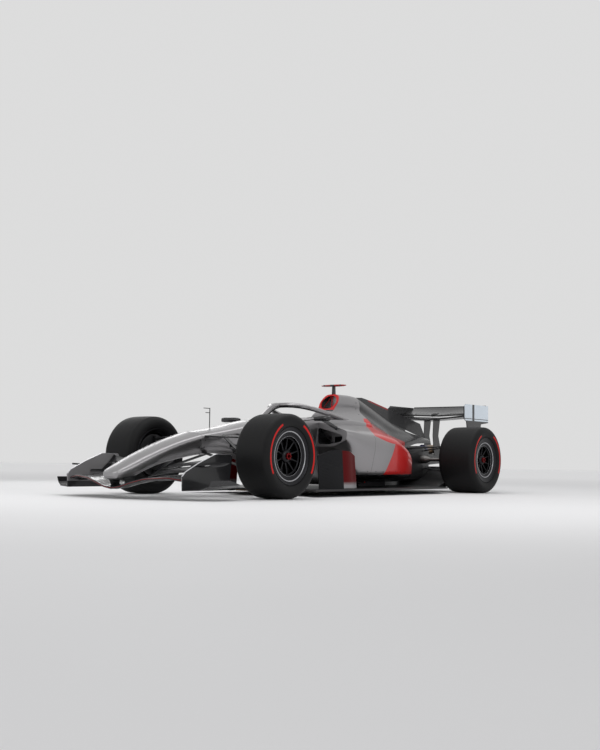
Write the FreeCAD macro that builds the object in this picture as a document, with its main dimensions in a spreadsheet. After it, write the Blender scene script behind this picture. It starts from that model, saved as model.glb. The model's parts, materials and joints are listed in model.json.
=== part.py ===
import FreeCAD, Part
import math
import os
from types import SimpleNamespace

import Sketcher
from FreeCAD import Placement, Rotation, Vector

# Open wheel racing car. X points forwards, Y to the car's left, Z up; the ground is Z = 0 and the
# origin lies on the ground, midway between the nose tip and the rearmost edge of the rear wing.

# Driving sizes, in millimetres and degrees. Each one is a cell of the spreadsheet "Sizes".
SIZES = [
    # whole car
    ("wheelbase", 3400),
    ("front_overhang", 1130),
    ("rear_overhang", 860),
    ("overall_width", 1900),
    ("body_height", 1000),
    ("tub_width", 700),
    ("fit_gap", 0.3),
    ("free_gap", 6),
    ("overrun", 40),
    # wheels
    ("front_tyre_diameter", 705),
    ("front_tyre_width", 350),
    ("front_tread_width", 270),
    ("front_rim_width", 310),
    ("rear_tyre_diameter", 710),
    ("rear_tyre_width", 420),
    ("rear_tread_width", 340),
    ("rear_rim_width", 380),
    ("rim_flange_diameter", 480),
    ("rim_wall", 8),
    ("rim_flange_height", 12),
    ("rim_well_depth", 16),
    ("rim_lip", 8),
    ("spoke_count", 10),
    ("spoke_thickness", 11),
    ("hub_radius", 58),
    ("hub_depth", 80),
    ("hub_face_setback", 48),
    ("hub_cap_thickness", 15),
    ("wheel_nut_radius", 34),
    ("wheel_nut_height", 30),
    ("wheel_nut_sides", 6),
    ("cover_ring_radius", 146),
    ("cover_ring_width", 14),
    ("cover_ring_depth", 14),
    # uprights and suspension
    ("kingpin_inset", 140),
    ("drum_radius", 188),
    ("drum_gap", 14),
    ("spindle_radius", 35),
    ("joint_rise", 150),
    ("joint_boss_radius", 17),
    ("joint_boss_height", 30),
    ("joint_pin_radius", 7),
    ("lug_thickness", 10),
    ("lug_reach", 24),
    ("arm_chord", 62),
    ("arm_thickness", 17),
    ("push_rod_chord", 46),
    ("track_rod_chord", 40),
    ("steering_arm_length", 125),
    ("steering_arm_rise", 90),
    ("track_rod_insertion", 60),
    ("rod_pocket_depth", 115),
    ("driveshaft_radius", 20),
    ("driveshaft_boot_radius", 46),
    ("driveshaft_boot_length", 110),
    ("spindle_bore_radius", 27),
    # cockpit
    ("tub_wall", 40),
    ("cockpit_width", 500),
    ("headrest_thickness", 70),
    ("headrest_height", 95),
    ("seat_width", 410),
    ("seat_wall", 12),
    ("seat_side_height", 120),
    ("steering_wheel_width", 280),
    ("steering_wheel_height", 165),
    ("steering_wheel_thickness", 26),
    ("steering_column_radius", 13),
    ("halo_tube_width", 56),
    ("halo_tube_height", 48),
    ("halo_pillar_thickness", 34),
    ("halo_pillar_chord", 68),
    # intake, covers and floor
    ("intake_wall", 13),
    ("intake_depth", 170),
    ("cover_wall", 9),
    ("fin_thickness", 8),
    ("pod_inlet_depth", 240),
    ("floor_bottom", 52),
    ("floor_thickness", 16),
    ("floor_half_width", 790),
    ("plank_width", 300),
    ("plank_thickness", 12),
    ("board_thickness", 8),
    ("board_height", 350),
    ("diffuser_half_width", 500),
    ("diffuser_rise", 215),
    ("diffuser_skin", 10),
    # power unit and tail
    ("engine_length", 500),
    ("engine_width", 320),
    ("engine_height", 320),
    ("exhaust_radius", 50),
    ("exhaust_wall", 4),
    ("rear_light_height", 60),
    # wings
    ("front_wing_half_span", 655),
    ("front_plate_thickness", 10),
    ("front_plate_height", 285),
    ("front_foot_width", 225),
    ("front_wing_clearance", 62),
    ("wing_trailing_edge", 3),
    ("nose_pylon_thickness", 14),
    ("rear_wing_half_span", 500),
    ("rear_plate_thickness", 10),
    ("rear_plate_height", 195),
    ("rear_wing_top", 985),
    ("pylon_thickness", 8),
    # small parts
    ("mirror_width", 190),
    ("mirror_height", 50),
    ("mirror_depth", 70),
    ("mirror_stay_thickness", 8),
    ("camera_span", 290),
    ("camera_chord", 70),
    ("camera_stalk_height", 92),
    ("pitot_height", 175),
    ("pitot_radius", 4),
]

doc = FreeCAD.newDocument("racing_car")
sheet = doc.addObject("Spreadsheet::Sheet", "Sizes")
for row, (alias, value) in enumerate(SIZES, start=1):
    sheet.set(f"A{row}", alias)
    sheet.set(f"B{row}", str(value))
    sheet.setAlias(f"B{row}", alias)
doc.recompute()


class Size:
    """A length that knows its value and the spreadsheet expression that gives it."""

    def __init__(self, value, text):
        self.value = float(value)
        self.text = text

    @staticmethod
    def of(other):
        return other if isinstance(other, Size) else Size(other, repr(float(other)))

    def combine(self, other, sign, value):
        return Size(value, f"({self.text} {sign} {Size.of(other).text})")

    def __float__(self):
        return self.value

    def __add__(self, other):
        return self.combine(other, "+", self.value + float(other))

    def __sub__(self, other):
        return self.combine(other, "-", self.value - float(other))

    def __mul__(self, other):
        return self.combine(other, "*", self.value * float(other))

    def __truediv__(self, other):
        return self.combine(other, "/", self.value / float(other))

    def __radd__(self, other):
        return Size.of(other) + self

    def __rsub__(self, other):
        return Size.of(other) - self

    def __rmul__(self, other):
        return Size.of(other) * self

    def __neg__(self):
        return Size(-self.value, f"(-{self.text})")


d = SimpleNamespace(**{a: Size(sheet.get(a), f"Sizes.{a}") for a, _ in SIZES})

# Places that follow from the driving sizes
half_width = d.overall_width / 2
half_tub = d.tub_width / 2
front_axle_x = (d.wheelbase + d.rear_overhang - d.front_overhang) / 2
rear_axle_x = front_axle_x - d.wheelbase
front_track_y = half_width - d.front_tyre_width / 2
rear_track_y = half_width - d.rear_tyre_width / 2
front_hub_z = d.front_tyre_diameter / 2
rear_hub_z = d.rear_tyre_diameter / 2
kingpin_y = front_track_y - d.kingpin_inset
rear_joint_y = rear_track_y - d.kingpin_inset
flange_radius = d.rim_flange_diameter / 2
seat_radius = flange_radius - d.rim_flange_height
barrel_radius = seat_radius - d.rim_well_depth - d.rim_wall
floor_top = d.floor_bottom + d.floor_thickness
front_wing_outer = d.front_wing_half_span + d.front_plate_thickness


def back(share):
    """X at a share of the wheelbase behind the front axle."""
    return float(front_axle_x - d.wheelbase * share)


def ahead(share):
    """X at a share of the front overhang ahead of the front axle."""
    return float(front_axle_x + d.front_overhang * share)


def behind(share):
    """X at a share of the rear overhang behind the rear axle."""
    return float(rear_axle_x - d.rear_overhang * share)


def up(share):
    """Z at a share of the body height."""
    return float(d.body_height * share)


def tub(share):
    """Y at a share of the survival cell's half width."""
    return float(half_tub * share)


def side(share):
    """Y at a share of the car's half width."""
    return float(half_width * share)


def vec(x, y, z):
    return Vector(float(x), float(y), float(z))


# Wires, lofts and small helpers
CORNER_STEPS = 4
CUT_LIMIT_SHARE = 0.46


def soft_wire(points, cuts, steps=CORNER_STEPS):
    """Closed outline whose corners are rounded off along parabolas, drawn in a few straight steps.

    A parabola starts one cut before its corner, and a corner whose cut is zero stays sharp."""
    outline = []
    for i, corner in enumerate(points):
        if cuts[i] == 0:
            outline.append(corner)
            continue
        before = points[i - 1] - corner
        after = points[(i + 1) % len(points)] - corner
        cut = min(cuts[i], before.Length * CUT_LIMIT_SHARE, after.Length * CUT_LIMIT_SHARE)
        start = corner + before.normalize() * cut
        end = corner + after.normalize() * cut
        for step in range(steps + 1):
            t = step / steps
            outline.append(start * (1 - t) ** 2 + corner * (2 * t * (1 - t)) + end * t**2)
    return closed_wire(outline)


def closed_wire(outline):
    return Part.makePolygon(outline + outline[:1])


def loft(wires):
    """A closed solid of straight facets between neighbouring sections."""
    return Part.makeLoft(wires, True, True)


def flat_row(row):
    return [v for item in row for v in (item if isinstance(item, tuple) else (item,))]


def row_like(values, row):
    """Puts a flat list of values back into the grouping of a table's row."""
    values = iter(values)
    return tuple(
        tuple(next(values) for _ in item) if isinstance(item, tuple) else next(values) for item in row
    )


def eased_row(table, station):
    """The row of a table at a station, on curves that pass its rows without overshooting them.

    Between two rows each column follows the cubic through both values whose end slopes are the
    weighted harmonic means of the neighbouring rates, or zero where the rate changes sign."""
    rows = [flat_row(row) for row in table]
    steps = [b[0] - a[0] for a, b in zip(rows, rows[1:])]
    span = next(
        (i for i, h in enumerate(steps) if (station - rows[i][0]) / h <= 1.0), len(steps) - 1
    )
    t = (station - rows[span][0]) / steps[span]
    values = []
    for column in zip(*rows):
        rates = [(b - a) / h for a, b, h in zip(column, column[1:], steps)]
        slopes = [rates[0]]
        for r0, r1, h0, h1 in zip(rates, rates[1:], steps, steps[1:]):
            w0, w1 = 2 * h1 + h0, h1 + 2 * h0
            slopes.append((w0 + w1) / (w0 / r0 + w1 / r1) if r0 * r1 > 0 else 0.0)
        slopes.append(rates[-1])
        a, b = column[span], column[span + 1]
        values.append(
            a * (1 + 2 * t) * (1 - t) ** 2
            + b * t**2 * (3 - 2 * t)
            + steps[span] * (slopes[span] * t * (1 - t) ** 2 - slopes[span + 1] * t**2 * (1 - t))
        )
    return row_like(values, table[0])


def refined(table, gap):
    """The table with rows added so that its stations lie no further apart than gap."""
    made = [table[0]]
    for low, high in zip(table, table[1:]):
        parts = math.ceil(abs(high[0] - low[0]) / gap - 1e-6)
        stations = [low[0] + (high[0] - low[0]) * i / parts for i in range(1, parts)]
        made += [eased_row(table, station) for station in stations] + [high]
    return made


def mirrored(shape):
    return shape.mirror(Vector(0, 0, 0), Vector(0, 1, 0))


def both_sides(shape):
    return Part.makeCompound([shape, mirrored(shape)])


def one_solid(shape):
    """The largest solid of a cut, so that slivers left by a cut are dropped."""
    return max(shape.Solids, key=lambda s: s.Volume)


def box(low, high):
    low, high = Vector(*map(float, low)), Vector(*map(float, high))
    size = high - low
    return Part.makeBox(size.x, size.y, size.z, low)


def rod(start, end, radius):
    return Part.makeCylinder(float(radius), (end - start).Length, start, end - start)


def slab(outline, thickness, normal):
    """A flat plate from a closed outline of points, as thick as asked along normal."""
    face = Part.Face(closed_wire(outline))
    return face.extrude(Vector(*normal) * float(thickness))


def mirrored_section(x, half):
    """Points round a section at x that is symmetric about the car's centre plane.

    half runs from the crest, on the centre plane, down the left side; each entry is (y, z)."""
    left = [Vector(x, y, z) for y, z in half]
    right = [Vector(x, -y, z) for y, z in reversed(half) if y > 0]
    return left + right


def blade(start, end, chord, thickness, chord_way):
    """A straight streamlined bar: two shallow arcs and blunt edges, carried from start to end."""
    run = end - start
    across = chord_way.cross(run).normalize()
    along = run.cross(across).normalize()
    half, crest = float(chord) / 2, float(thickness) / 2
    edge = crest * BLADE_EDGE_SHARE
    corners = [
        start + along * (sign * half) + across * (side_sign * edge)
        for sign, side_sign in ((1, 1), (-1, 1), (-1, -1), (1, -1))
    ]
    outline = Part.Wire(
        [
            Part.Arc(corners[0], start + across * crest, corners[1]).toShape(),
            Part.makeLine(corners[1], corners[2]),
            Part.Arc(corners[2], start - across * crest, corners[3]).toShape(),
            Part.makeLine(corners[3], corners[0]),
        ]
    )
    return Part.Face(outline).extrude(run)


BLADE_EDGE_SHARE = 0.3
NOSE_END_SHARE = 0.06
BELLY_SHARE = 0.42
NOSE_HALF_SHARE = 0.27


def aerofoil(y, nose, tail, thickness_share, camber_share):
    """Closed section in the plane of y; nose and tail are (x, z), and the belly hangs below the chord.

    One arc rounds the nose, one arc each makes the back and the belly, and the tail is blunt."""
    nose_point, tail_point = vec(nose[0], y, nose[1]), vec(tail[0], y, tail[1])
    chord = tail_point - nose_point
    length = chord.Length
    along = Vector(chord).normalize()
    upwards = Vector(0, 1, 0).cross(along)
    if upwards.z < 0:
        upwards = -upwards
    edge = float(d.wing_trailing_edge) / 2

    def at(share, half):
        camber = -4 * camber_share * length * share * (1 - share)
        return nose_point + along * (length * share) + upwards * (camber + half)

    half = thickness_share * length / 2
    nose_half = half * NOSE_HALF_SHARE * 2
    top, bottom = at(NOSE_END_SHARE, nose_half), at(NOSE_END_SHARE, -nose_half)
    back_line = arc_points(at(1, edge), at(BELLY_SHARE, half), top)
    nose_line = arc_points(top, nose_point, bottom)
    belly_line = arc_points(bottom, at(BELLY_SHARE, -half), at(1, -edge))
    return closed_wire(back_line + nose_line[1:] + belly_line[1:])


def arc_points(start, middle, end):
    return Part.Arc(start, middle, end).toShape().discretize(CORNER_STEPS + 1)


def wing(stations, thickness_share, camber_share):
    """A wing element through stations of (y, nose x, nose z, tail x, tail z)."""
    wires = [
        aerofoil(y, (nx, nz), (tx, tz), thickness_share, camber_share)
        for y, nx, nz, tx, tz in stations
    ]
    return loft(wires)


def full_span(stations):
    """Adds the mirror image of every station, so that the element runs from right to left."""
    return [(-y, *rest) for y, *rest in reversed(stations) if y > 0] + list(stations)


def feature(label, shape):
    """A sub-part made by Part's own functions from the sheet's sizes."""
    made = doc.addObject("Part::Feature", label)
    made.Label = label
    made.Shape = shape
    return made


def origin_part(body, role):
    return next(o for o in body.Origin.OriginFeatures if o.Role == role)


def sketch_on(body, plane, name):
    sketch = body.newObject("Sketcher::SketchObject", name)
    sketch.AttachmentSupport = [(origin_part(body, plane), "")]
    sketch.MapMode = "FlatFace"
    return sketch


def pin_to_origin(sketch, geometry, position, across, upward):
    """Fixes one point of the sketch by distances that the spreadsheet drives."""
    for kind, size in (("DistanceX", across), ("DistanceY", upward)):
        size = Size.of(size)
        if abs(size.value) < 1e-9:
            relation = "PointOnObject"
            axis = -2 if kind == "DistanceX" else -1
            sketch.addConstraint(Sketcher.Constraint(relation, geometry, position, axis))
            continue
        if size.value > 0:
            ends = (-1, 1, geometry, position)
        else:
            ends = (geometry, position, -1, 1)
            size = -size
        index = sketch.addConstraint(Sketcher.Constraint(kind, *ends, size.value))
        sketch.setExpression(f"Constraints[{index}]", size.text)


def polygon_sketch(body, plane, name, points):
    """A closed polygon whose corners are bound to the spreadsheet; points are (across, upward)."""
    sketch = sketch_on(body, plane, name)
    count = len(points)
    for i in range(count):
        (a, b), (c, e) = points[i], points[(i + 1) % count]
        sketch.addGeometry(Part.LineSegment(vec(a, b, 0), vec(c, e, 0)))
    for i in range(count):
        sketch.addConstraint(Sketcher.Constraint("Coincident", i, 2, (i + 1) % count, 1))
    for i, (across, upward) in enumerate(points):
        pin_to_origin(sketch, i, 1, across, upward)
    return sketch


def new_body(label, place=None):
    body = doc.addObject("PartDesign::Body", label)
    body.Label = label
    if place is not None:
        base, rotation = place
        body.Placement = Placement(Vector(0, 0, 0), rotation)
        for axis, size in zip("xyz", base):
            body.setExpression(f"Placement.Base.{axis}", Size.of(size).text)
    return body


def pad(body, sketch, length, symmetric=True, reverse=False):
    made = body.newObject("PartDesign::Pad", "Pad")
    made.Profile = sketch
    made.setExpression("Length", Size.of(length).text)
    made.SideType = "Symmetric" if symmetric else "One side"
    made.Reversed = reverse
    return made


def revolution(body, sketch, axis):
    made = body.newObject("PartDesign::Revolution", "Revolution")
    made.Profile = sketch
    made.ReferenceAxis = (origin_part(body, axis), [""])
    made.Angle = 360
    return made


def polar(body, features, axis, count):
    pattern = body.newObject("PartDesign::PolarPattern", "PolarPattern")
    pattern.Originals = features
    pattern.Axis = (origin_part(body, axis), [""])
    pattern.Angle = 360
    pattern.setExpression("Occurrences", Size.of(count).text)
    body.Tip = pattern
    return pattern


# Wheels: each one turns about its own Y axis, whose positive end is the outer face
TYRE_WALL_SHARE = 0.66


def wheel_place(left, front):
    x = front_axle_x if front else rear_axle_x
    y = front_track_y if front else rear_track_y
    z = front_hub_z if front else rear_hub_z
    turn = Rotation(Vector(0, 0, 1), 0 if left else 180)
    return (x, y if left else -y, z), turn


def tyre(label, place, diameter, width, tread_width, rim_width):
    """A slick tyre: beads inside the rim flanges, side walls that bulge past the rim and a flat tread."""
    body = new_body(label, place)
    over_radius = flange_radius + d.fit_gap * 6
    bead_half = rim_width / 2 - d.rim_lip - d.fit_gap
    half = [
        (seat_radius + d.fit_gap, bead_half),
        (over_radius, bead_half),
        (over_radius + (diameter / 2 - over_radius) * TYRE_WALL_SHARE, width / 2),
        (diameter / 2, tread_width / 2),
    ]
    profile = half + [(radius, -across) for radius, across in reversed(half)]
    sketch = polygon_sketch(body, "XY_Plane", "TyreProfile", profile)
    revolution(body, sketch, "Y_Axis")
    return body


def rim(label, place, rim_width):
    """A deep one-piece wheel: flanged barrel, hub with a centre nut, spokes and the ring on them."""
    body = new_body(label, place)
    half = rim_width / 2
    well = seat_radius - d.rim_well_depth
    seat = half - d.rim_lip * 4.5
    profile = [
        (seat_radius, half - d.rim_lip),
        (flange_radius, half - d.rim_lip),
        (flange_radius, half),
        (seat_radius, half),
        (well - d.rim_wall, seat),
        (well - d.rim_wall, -seat),
        (seat_radius, -half),
        (flange_radius, -half),
        (flange_radius, -(half - d.rim_lip)),
        (seat_radius, -(half - d.rim_lip)),
        (well, -seat),
        (well, seat),
    ]
    barrel = polygon_sketch(body, "XY_Plane", "Barrel", profile)
    revolution(body, barrel, "Y_Axis")
    bore = d.spindle_radius + d.fit_gap
    face = half - d.hub_face_setback
    hub = polygon_sketch(
        body,
        "XY_Plane",
        "Hub",
        [
            (bore, face - d.hub_depth),
            (d.hub_radius, face - d.hub_depth),
            (d.hub_radius, face - d.hub_cap_thickness),
            (d.wheel_nut_radius * 1.2, face),
            (0, face),
            (0, face - d.hub_cap_thickness),
            (bore, face - d.hub_cap_thickness),
        ],
    )
    revolution(body, hub, "Y_Axis")
    root = d.hub_radius - d.rim_lip
    rim_end = well - d.rim_wall / 2
    spoke = polygon_sketch(
        body,
        "XY_Plane",
        "Spoke",
        [
            (root, face - d.hub_depth * 0.7),
            (rim_end * 0.8, face - d.hub_depth * 0.3),
            (rim_end, face - d.hub_depth * 0.25),
            (rim_end, face + d.hub_depth * 0.14),
            (rim_end * 0.8, face + d.hub_depth * 0.06),
            (root, face - d.hub_depth * 0.22),
        ],
    )
    one = pad(body, spoke, d.spoke_thickness)
    polar(body, [one], "Y_Axis", d.spoke_count)
    ring = polygon_sketch(
        body,
        "XY_Plane",
        "CoverRing",
        [
            (d.cover_ring_radius, face - d.cover_ring_depth / 2),
            (d.cover_ring_radius + d.cover_ring_width, face - d.cover_ring_depth / 2),
            (d.cover_ring_radius + d.cover_ring_width, face + d.cover_ring_depth / 2),
            (d.cover_ring_radius, face + d.cover_ring_depth / 2),
        ],
    )
    last = revolution(body, ring, "Y_Axis")
    body.Tip = last
    # the hexagonal centre nut
    nut = sketch_on(body, "XZ_Plane", "Nut")
    sides = int(float(d.wheel_nut_sides))
    corners = [
        Vector(
            float(d.wheel_nut_radius) * math.cos(2 * math.pi * i / sides),
            float(d.wheel_nut_radius) * math.sin(2 * math.pi * i / sides),
            0,
        )
        for i in range(sides)
    ]
    for i in range(sides):
        nut.addGeometry(Part.LineSegment(corners[i], corners[(i + 1) % sides]))
    made = pad(body, nut, face + d.wheel_nut_height, symmetric=False, reverse=True)
    made.setExpression("Length", d.wheel_nut_height.text)
    nut.AttachmentOffset = Placement(Vector(0, 0, -float(face)), Rotation())
    body.Tip = made
    return body


def front_wheel(name, left):
    place = wheel_place(left, True)
    sizes = (d.front_tyre_diameter, d.front_tyre_width, d.front_tread_width, d.front_rim_width)
    tyre(f"tyre_front_{name}", place, *sizes)
    rim(f"rim_front_{name}", place, d.front_rim_width)


def rear_wheel(name, left):
    place = wheel_place(left, False)
    sizes = (d.rear_tyre_diameter, d.rear_tyre_width, d.rear_tread_width, d.rear_rim_width)
    tyre(f"tyre_rear_{name}", place, *sizes)
    rim(f"rim_rear_{name}", place, d.rear_rim_width)


for name, left in (("left", True), ("right", False)):
    front_wheel(name, left)
    rear_wheel(name, left)

# Survival cell and nose: sections with a crest, two shoulders and two lower corners.
# Columns: half width at the shoulder, crest height, shoulder height, half width and height of the
# lower corner; widths are shares of the cell's half width and heights of the body height.
BULKHEAD_SHARES = (0.529, 0.560, 0.522, 0.430, 0.352)
NOSE_SHARES = [
    (1.000, 0.150, 0.212, 0.203, 0.140, 0.176),
    (0.987, 0.260, 0.229, 0.214, 0.230, 0.158),
    (0.955, 0.310, 0.252, 0.232, 0.262, 0.146),
    (0.885, 0.345, 0.290, 0.265, 0.290, 0.150),
    (0.743, 0.386, 0.362, 0.333, 0.328, 0.215),
    (0.5575, 0.430, 0.442, 0.412, 0.357, 0.283),
    (0.434, 0.460, 0.490, 0.458, 0.375, 0.310),
    (0.221, *BULKHEAD_SHARES),
]
TUB_SHARES = [
    (0.0294, 0.571, 0.612, 0.578, 0.471, 0.375),
    (0.1176, 0.643, 0.670, 0.636, 0.543, 0.345),
    (0.2118, 0.743, 0.718, 0.686, 0.630, 0.270),
    (0.2940, 0.857, 0.745, 0.715, 0.715, 0.130),
    (0.3970, 0.957, 0.755, 0.725, 0.800, 0.095),
    (0.5147, 1.000, 0.755, 0.725, 0.800, 0.095),
    (0.6176, 0.943, 0.738, 0.705, 0.770, 0.095),
]
STATION_GAP_SHARE = 0.026
NOSE_GAP_SHARE = 0.07
SHOULDER_CUT_SHARE = 0.13
KEEL_CUT_SHARE = 0.22


def cell_wire(x, row, shrink=0.0):
    """One section of the nose or the survival cell, drawn inwards by shrink."""
    half_top, crest, shoulder, half_keel, keel = row
    half = [
        (0, up(crest) - shrink),
        (tub(half_top) - shrink, up(shoulder) - shrink),
        (tub(half_keel) - shrink, up(keel) + shrink),
    ]
    cuts = [tub(half_top), tub(SHOULDER_CUT_SHARE), tub(KEEL_CUT_SHARE)]
    cuts += [cuts[2], cuts[1]]
    return soft_wire(mirrored_section(x, half), cuts)


nose_rows = refined(NOSE_SHARES, NOSE_GAP_SHARE)
nose_solid = loft([cell_wire(ahead(row[0]), row[1:]) for row in nose_rows])
bulkhead_share = -NOSE_SHARES[-1][0] * float(d.front_overhang / d.wheelbase)
CELL_SHARES = [(bulkhead_share, *BULKHEAD_SHARES)] + TUB_SHARES
cell_rows = refined(CELL_SHARES, STATION_GAP_SHARE)
cell_outer = loft([cell_wire(back(row[0]), row[1:]) for row in cell_rows])
feature("nose_cone", nose_solid)

# The hollow of the cell and the opening that the driver uses
CAVITY_SHARES = (0.135, 0.17, 0.205, 0.235, 0.265, 0.294, 0.34, 0.40, 0.45, 0.50)
OPENING_SHARES = [
    (0.222, 0.42),
    (0.262, 0.86),
    (0.330, 1.00),
    (0.470, 1.00),
    (0.505, 0.72),
]
OPENING_CUT_SHARE = 0.3
cavity_rows = [eased_row(CELL_SHARES, s) for s in CAVITY_SHARES]
cavity = loft([cell_wire(back(row[0]), row[1:], float(d.tub_wall)) for row in cavity_rows])
cavity_floor = up(0.095) + float(d.tub_wall)
half_cockpit = d.cockpit_width / 2


def opening_outline(z, inset):
    """Plan of the cockpit opening at height z, drawn inwards by inset."""
    half = float(half_cockpit)
    first, last = OPENING_SHARES[0][0], OPENING_SHARES[-1][0]
    left = []
    for share, width in OPENING_SHARES:
        x = back(share)
        x -= inset if share == first else 0
        x += inset if share == last else 0
        left.append(Vector(x, half * width - inset, z))
    right = [Vector(p.x, -p.y, z) for p in reversed(left)]
    points = left + right
    return soft_wire(points, [half * OPENING_CUT_SHARE] * len(points))


opening_low = up(0.60)
opening_high = up(0.80)
opening = Part.Face(opening_outline(opening_low, 0.0)).extrude(
    Vector(0, 0, opening_high - opening_low)
)

# Pockets in the cell's sides where the track rods slide in and out
track_rod_x = front_axle_x - d.steering_arm_length
track_rod_z = front_hub_z + d.steering_arm_rise
pocket_inner = tub(0.56) - float(d.rod_pocket_depth)
pocket = box(
    (
        track_rod_x - d.track_rod_chord / 2 - d.free_gap,
        pocket_inner,
        track_rod_z - d.arm_thickness / 2 - d.free_gap,
    ),
    (
        track_rod_x + d.track_rod_chord / 2 + d.free_gap * 2,
        tub(1.0),
        track_rod_z + d.arm_thickness / 2 + d.free_gap,
    ),
)
cell = one_solid(cell_outer.cut(Part.makeCompound([cavity, opening, pocket, mirrored(pocket)])))
feature("survival_cell", cell)

# Head rest: a padded collar round the sides and back of the opening
HEADREST_FRONT_SHARE = 0.345
collar_low = up(0.725) - float(d.headrest_height)
collar_high = up(0.735)
collar_outer = Part.Face(opening_outline(collar_low, float(d.fit_gap)))
collar_inner = Part.Face(opening_outline(collar_low, float(d.headrest_thickness)))
collar = collar_outer.cut(collar_inner).extrude(Vector(0, 0, collar_high - collar_low))
collar = collar.cut(
    box(
        (back(HEADREST_FRONT_SHARE), -half_width, 0),
        (back(0), half_width, up(1)),
    )
)
collar = one_solid(collar.cut(cell))
feature("headrest", collar)

# Seat: a thin bucket whose section is carried along the driver's reclined line
SEAT_PATH_SHARES = [
    (0.275, 0.150, 60, 0.45),
    (0.335, 0.137, 80, 0.70),
    (0.390, 0.150, 62, 1.00),
    (0.430, 0.240, 45, 1.00),
    (0.468, 0.430, 25, 0.90),
    (0.488, 0.600, 18, 0.55),
]


def seat_wire(station, height, lean, wall_share):
    """A U section square to the seat's line; lean is the angle of its back wall's normal above X."""
    normal = Vector(math.cos(math.radians(lean)), 0, math.sin(math.radians(lean)))
    centre = Vector(back(station), 0, up(height)) + normal * float(d.fit_gap * 4)
    half = float(d.seat_width) / 2
    wall = float(d.seat_wall)
    tall = float(d.seat_side_height) * wall_share

    def at(y, rise):
        return centre + Vector(0, y, 0) + normal * rise

    points = [
        at(-half, tall),
        at(-half * 0.94, 0),
        at(half * 0.94, 0),
        at(half, tall),
        at(half - wall, tall),
        at(half * 0.94 - wall, wall),
        at(-half * 0.94 + wall, wall),
        at(-half + wall, tall),
    ]
    cuts = [0, half / 4, half / 4, 0, 0, half / 5, half / 5, 0]
    return soft_wire(points, cuts)


seat = loft([seat_wire(*row) for row in SEAT_PATH_SHARES])
feature("seat", one_solid(seat.cut(cell).cut(collar)))

# Halo: a hoop of oval tube on a central pillar
HALO_SHARES = [
    (0.2960, 0.000, 0.842),
    (0.2990, 0.200, 0.843),
    (0.3080, 0.400, 0.840),
    (0.3250, 0.580, 0.830),
    (0.3550, 0.740, 0.808),
    (0.4000, 0.840, 0.775),
    (0.4500, 0.865, 0.744),
    (0.5000, 0.850, 0.712),
]
# Columns: station and height of the pillar's middle, and its depth as a share of its chord
PILLAR_SHARES = [
    (0.2090, 0.672, 1.30),
    (0.2240, 0.722, 1.15),
    (0.2400, 0.768, 1.00),
    (0.2570, 0.804, 0.90),
    (0.2760, 0.828, 0.80),
    (0.2960, 0.842, 0.70),
]
OVAL_SIDES = 12
HALO_STEPS = 26


def oval(centre, across, rise):
    """An oval ring whose half axes are the vectors across and rise."""
    turns = [2 * math.pi * i / OVAL_SIDES for i in range(OVAL_SIDES)]
    return closed_wire([centre + across * math.cos(a) + rise * math.sin(a) for a in turns])


def tube_oval(centre, run, wide, tall):
    """An oval square to run, wide across and tall upwards."""
    across = Vector(0, 0, 1).cross(run).normalize()
    rise = run.cross(across).normalize()
    return oval(centre, across * (wide / 2), rise * (tall / 2))


halo_left = [Vector(back(s), tub(y), up(z)) for s, y, z in HALO_SHARES]
halo_line = [Vector(p.x, -p.y, p.z) for p in reversed(halo_left[1:])] + halo_left
halo_curve = Part.BSplineCurve()
halo_curve.interpolate(halo_line)
halo_range = halo_curve.LastParameter - halo_curve.FirstParameter
halo_wires = []
for i in range(HALO_STEPS + 1):
    place = halo_curve.FirstParameter + halo_range * i / HALO_STEPS
    run = Vector(*halo_curve.tangent(place)[0])
    halo_wires.append(
        tube_oval(
            halo_curve.value(place), run, float(d.halo_tube_width), float(d.halo_tube_height)
        )
    )
hoop = loft(halo_wires)
pillar_rows = refined(PILLAR_SHARES, STATION_GAP_SHARE / 3)
pillar_middles = [Vector(back(s), 0, up(z)) for s, z, _ in pillar_rows]
pillar_wires = []
for i, (_, _, depth_share) in enumerate(pillar_rows):
    run = pillar_middles[min(i + 1, len(pillar_rows) - 1)] - pillar_middles[max(i - 1, 0)]
    pillar_wires.append(
        tube_oval(
            pillar_middles[i],
            run.normalize(),
            float(d.halo_pillar_thickness),
            float(d.halo_pillar_chord) * depth_share,
        )
    )
pillar = loft(pillar_wires)
halo = one_solid(hoop.fuse(pillar).cut(cell_outer))
feature("halo", halo)

# Roll hoop with the air intake above the driver's head
# Columns: station, crest height, then (y, z) of the upper, widest, waist and foot corners
HOOP_SHARES = [
    (0.5000, 0.975, (0.19, 0.968), (0.310, 0.905), (0.250, 0.830), (0.42, 0.765), (0.60, 0.70)),
    (0.5450, 1.000, (0.22, 0.992), (0.335, 0.915), (0.265, 0.835), (0.46, 0.770), (0.70, 0.70)),
    (0.6000, 1.000, (0.24, 0.992), (0.345, 0.915), (0.285, 0.840), (0.50, 0.775), (0.76, 0.70)),
    (0.6412, 0.990, (0.22, 0.982), (0.335, 0.905), (0.300, 0.835), (0.54, 0.770), (0.78, 0.70)),
]
WAIST_STEPS = 3
INTAKE_FOOT_SHARES = (0.509, 0.83)
INTAKE_HEAD_SHARES = (0.5455, 1.00)


def hoop_wire(row, shrink=0.0, floor_share=None):
    station, crest, *corners = row
    half = [(0, up(crest) - shrink)]
    for y, z in corners:
        low = up(z) if floor_share is None else max(up(z), up(floor_share) + shrink)
        half.append((tub(y) - shrink, low - (shrink if z > crest - 0.02 else 0)))
    cuts = [tub(0.2)] + [tub(0.12)] * len(corners)
    cuts += cuts[:0:-1]
    return soft_wire(mirrored_section(back(station), half), cuts, WAIST_STEPS)


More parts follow.
